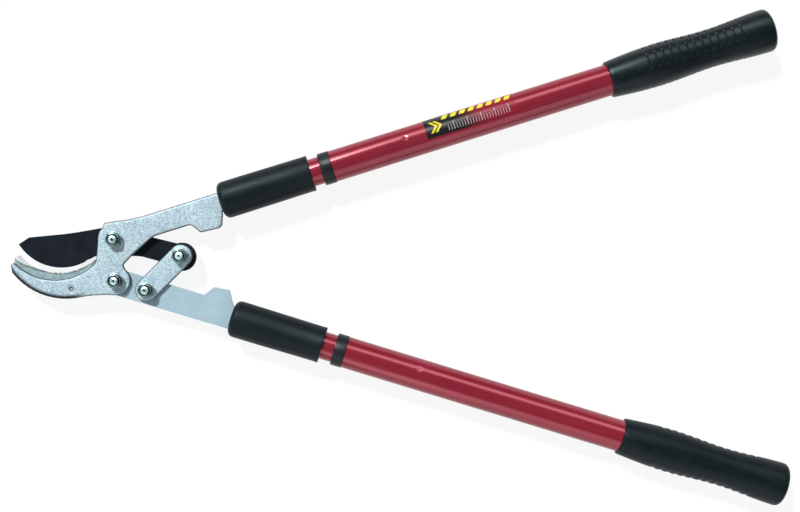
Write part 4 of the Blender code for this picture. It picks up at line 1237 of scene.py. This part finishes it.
def studio_air(studio):
    """A world that is white to the camera, even on the object, and to gloss a room with two windows."""
    air = Finish("studio air", world=True)
    seen, passed_on = ray_kinds(air)
    direction = air.axes(air.node("TexCoord").outputs["Generated"])
    even = toward(direction, KEY_WAY).ramp(-0.7, 0.9, studio.far_side, studio.lit_side)
    wall = direction[1].ramp(-0.5, 0.6, studio.far_wall, studio.near_wall)
    room = wall + (wall * -1.0 + studio.ceiling) * direction[2].ramp(0.05, 0.50)
    rise = direction[2].math("ARCTAN2", direction[1])
    strip = rise.ramp(STRIP_LOW - STRIP_SOFTNESS, STRIP_LOW + STRIP_SOFTNESS)
    strip = strip * rise.ramp(STRIP_HIGH - STRIP_SOFTNESS, STRIP_HIGH + STRIP_SOFTNESS, studio.strip, 0.0)
    room = room + strip * direction[0].size().ramp(0.50, 0.80, 1.0, 0.0)
    room = room + toward(direction, WINDOW_WAY).ramp(0.78, 0.94, 0.0, studio.window)
    light = even + (room - even) * passed_on
    air.feed(air.shader.inputs["Strength"], (light - 1.0) * (seen * -1.0 + 1.0) + 1.0)
    air.shader.inputs["Color"].default_value = WHITE
    return air.material


class LOPPER_OT_stage(bpy.types.Operator):
    """Sets the floor, the light and the camera."""

    bl_idname = "lopper.stage"
    bl_label = "Studio"

    def execute(self, context):
        studio = context.scene.lopper_studio
        deselect()
        floor = white_floor()
        context.scene.world = studio_air(studio)

        bpy.ops.object.light_add(type="SUN", location=KEY_WAY, rotation=facing_back(KEY_WAY))
        key = added("key_light")
        key.data.energy = studio.key_strength
        key.data.angle = studio.key_spread
        bpy.ops.object.light_add(type="AREA", location=FILL_PLACE, rotation=facing_back(FILL_PLACE))
        fill = added("fill_lamp")
        fill.data.shape = "SQUARE"
        fill.data.size = FILL_SIZE
        fill.data.energy = studio.fill_power
        fill.visible_camera = False

        bpy.ops.object.camera_add(location=(*CAMERA_PLACE, studio.camera_height), rotation=(0.0, 0.0, 0.0))
        camera = added("studio_camera")
        camera.data.lens = studio.lens
        camera.data.sensor_width = SENSOR_WIDTH
        context.scene.camera = camera
        context.scene.view_settings.view_transform = "Standard"
        return {"FINISHED"}


OPERATORS = (
    LOPPER_OT_head,
    LOPPER_OT_rivet,
    LOPPER_OT_pivots,
    LOPPER_OT_sleeves,
    LOPPER_OT_tubes,
    LOPPER_OT_grips,
    LOPPER_OT_label,
    LOPPER_OT_inside,
    LOPPER_OT_stage,
)


class LOPPER_PT_panel(bpy.types.Panel):
    """The lopper's pieces in the sidebar."""

    bl_label = "Lopper"
    bl_idname = "LOPPER_PT_panel"
    bl_space_type = "VIEW_3D"
    bl_region_type = "UI"
    bl_category = "Lopper"

    def draw(self, context):
        scene = context.scene
        for group in (scene.lopper_sizes, scene.lopper_finishes, scene.lopper_studio):
            box = self.layout.box()
            for key in group.bl_rna.properties.keys():
                if key not in ("rna_type", "name"):
                    box.prop(group, key)
        for operator in OPERATORS:
            self.layout.operator(operator.bl_idname)


CLASSES = (LopperSizes, LopperFinishes, LopperStudio, *OPERATORS, LOPPER_PT_panel)


def register():
    for item in CLASSES:
        bpy.utils.register_class(item)
    bpy.types.Scene.lopper_sizes = PointerProperty(type=LopperSizes)
    bpy.types.Scene.lopper_finishes = PointerProperty(type=LopperFinishes)
    bpy.types.Scene.lopper_studio = PointerProperty(type=LopperStudio)


def unregister():
    del bpy.types.Scene.lopper_sizes
    del bpy.types.Scene.lopper_finishes
    del bpy.types.Scene.lopper_studio
    for item in reversed(CLASSES):
        bpy.utils.unregister_class(item)


def main():
    """Builds the dressed lopper in its studio."""
    register()
    for operator in OPERATORS:
        group, name = operator.bl_idname.split(".")
        getattr(getattr(bpy.ops, group), name)()
    bpy.context.view_layer.update()


if __name__ == "__main__":
    main()
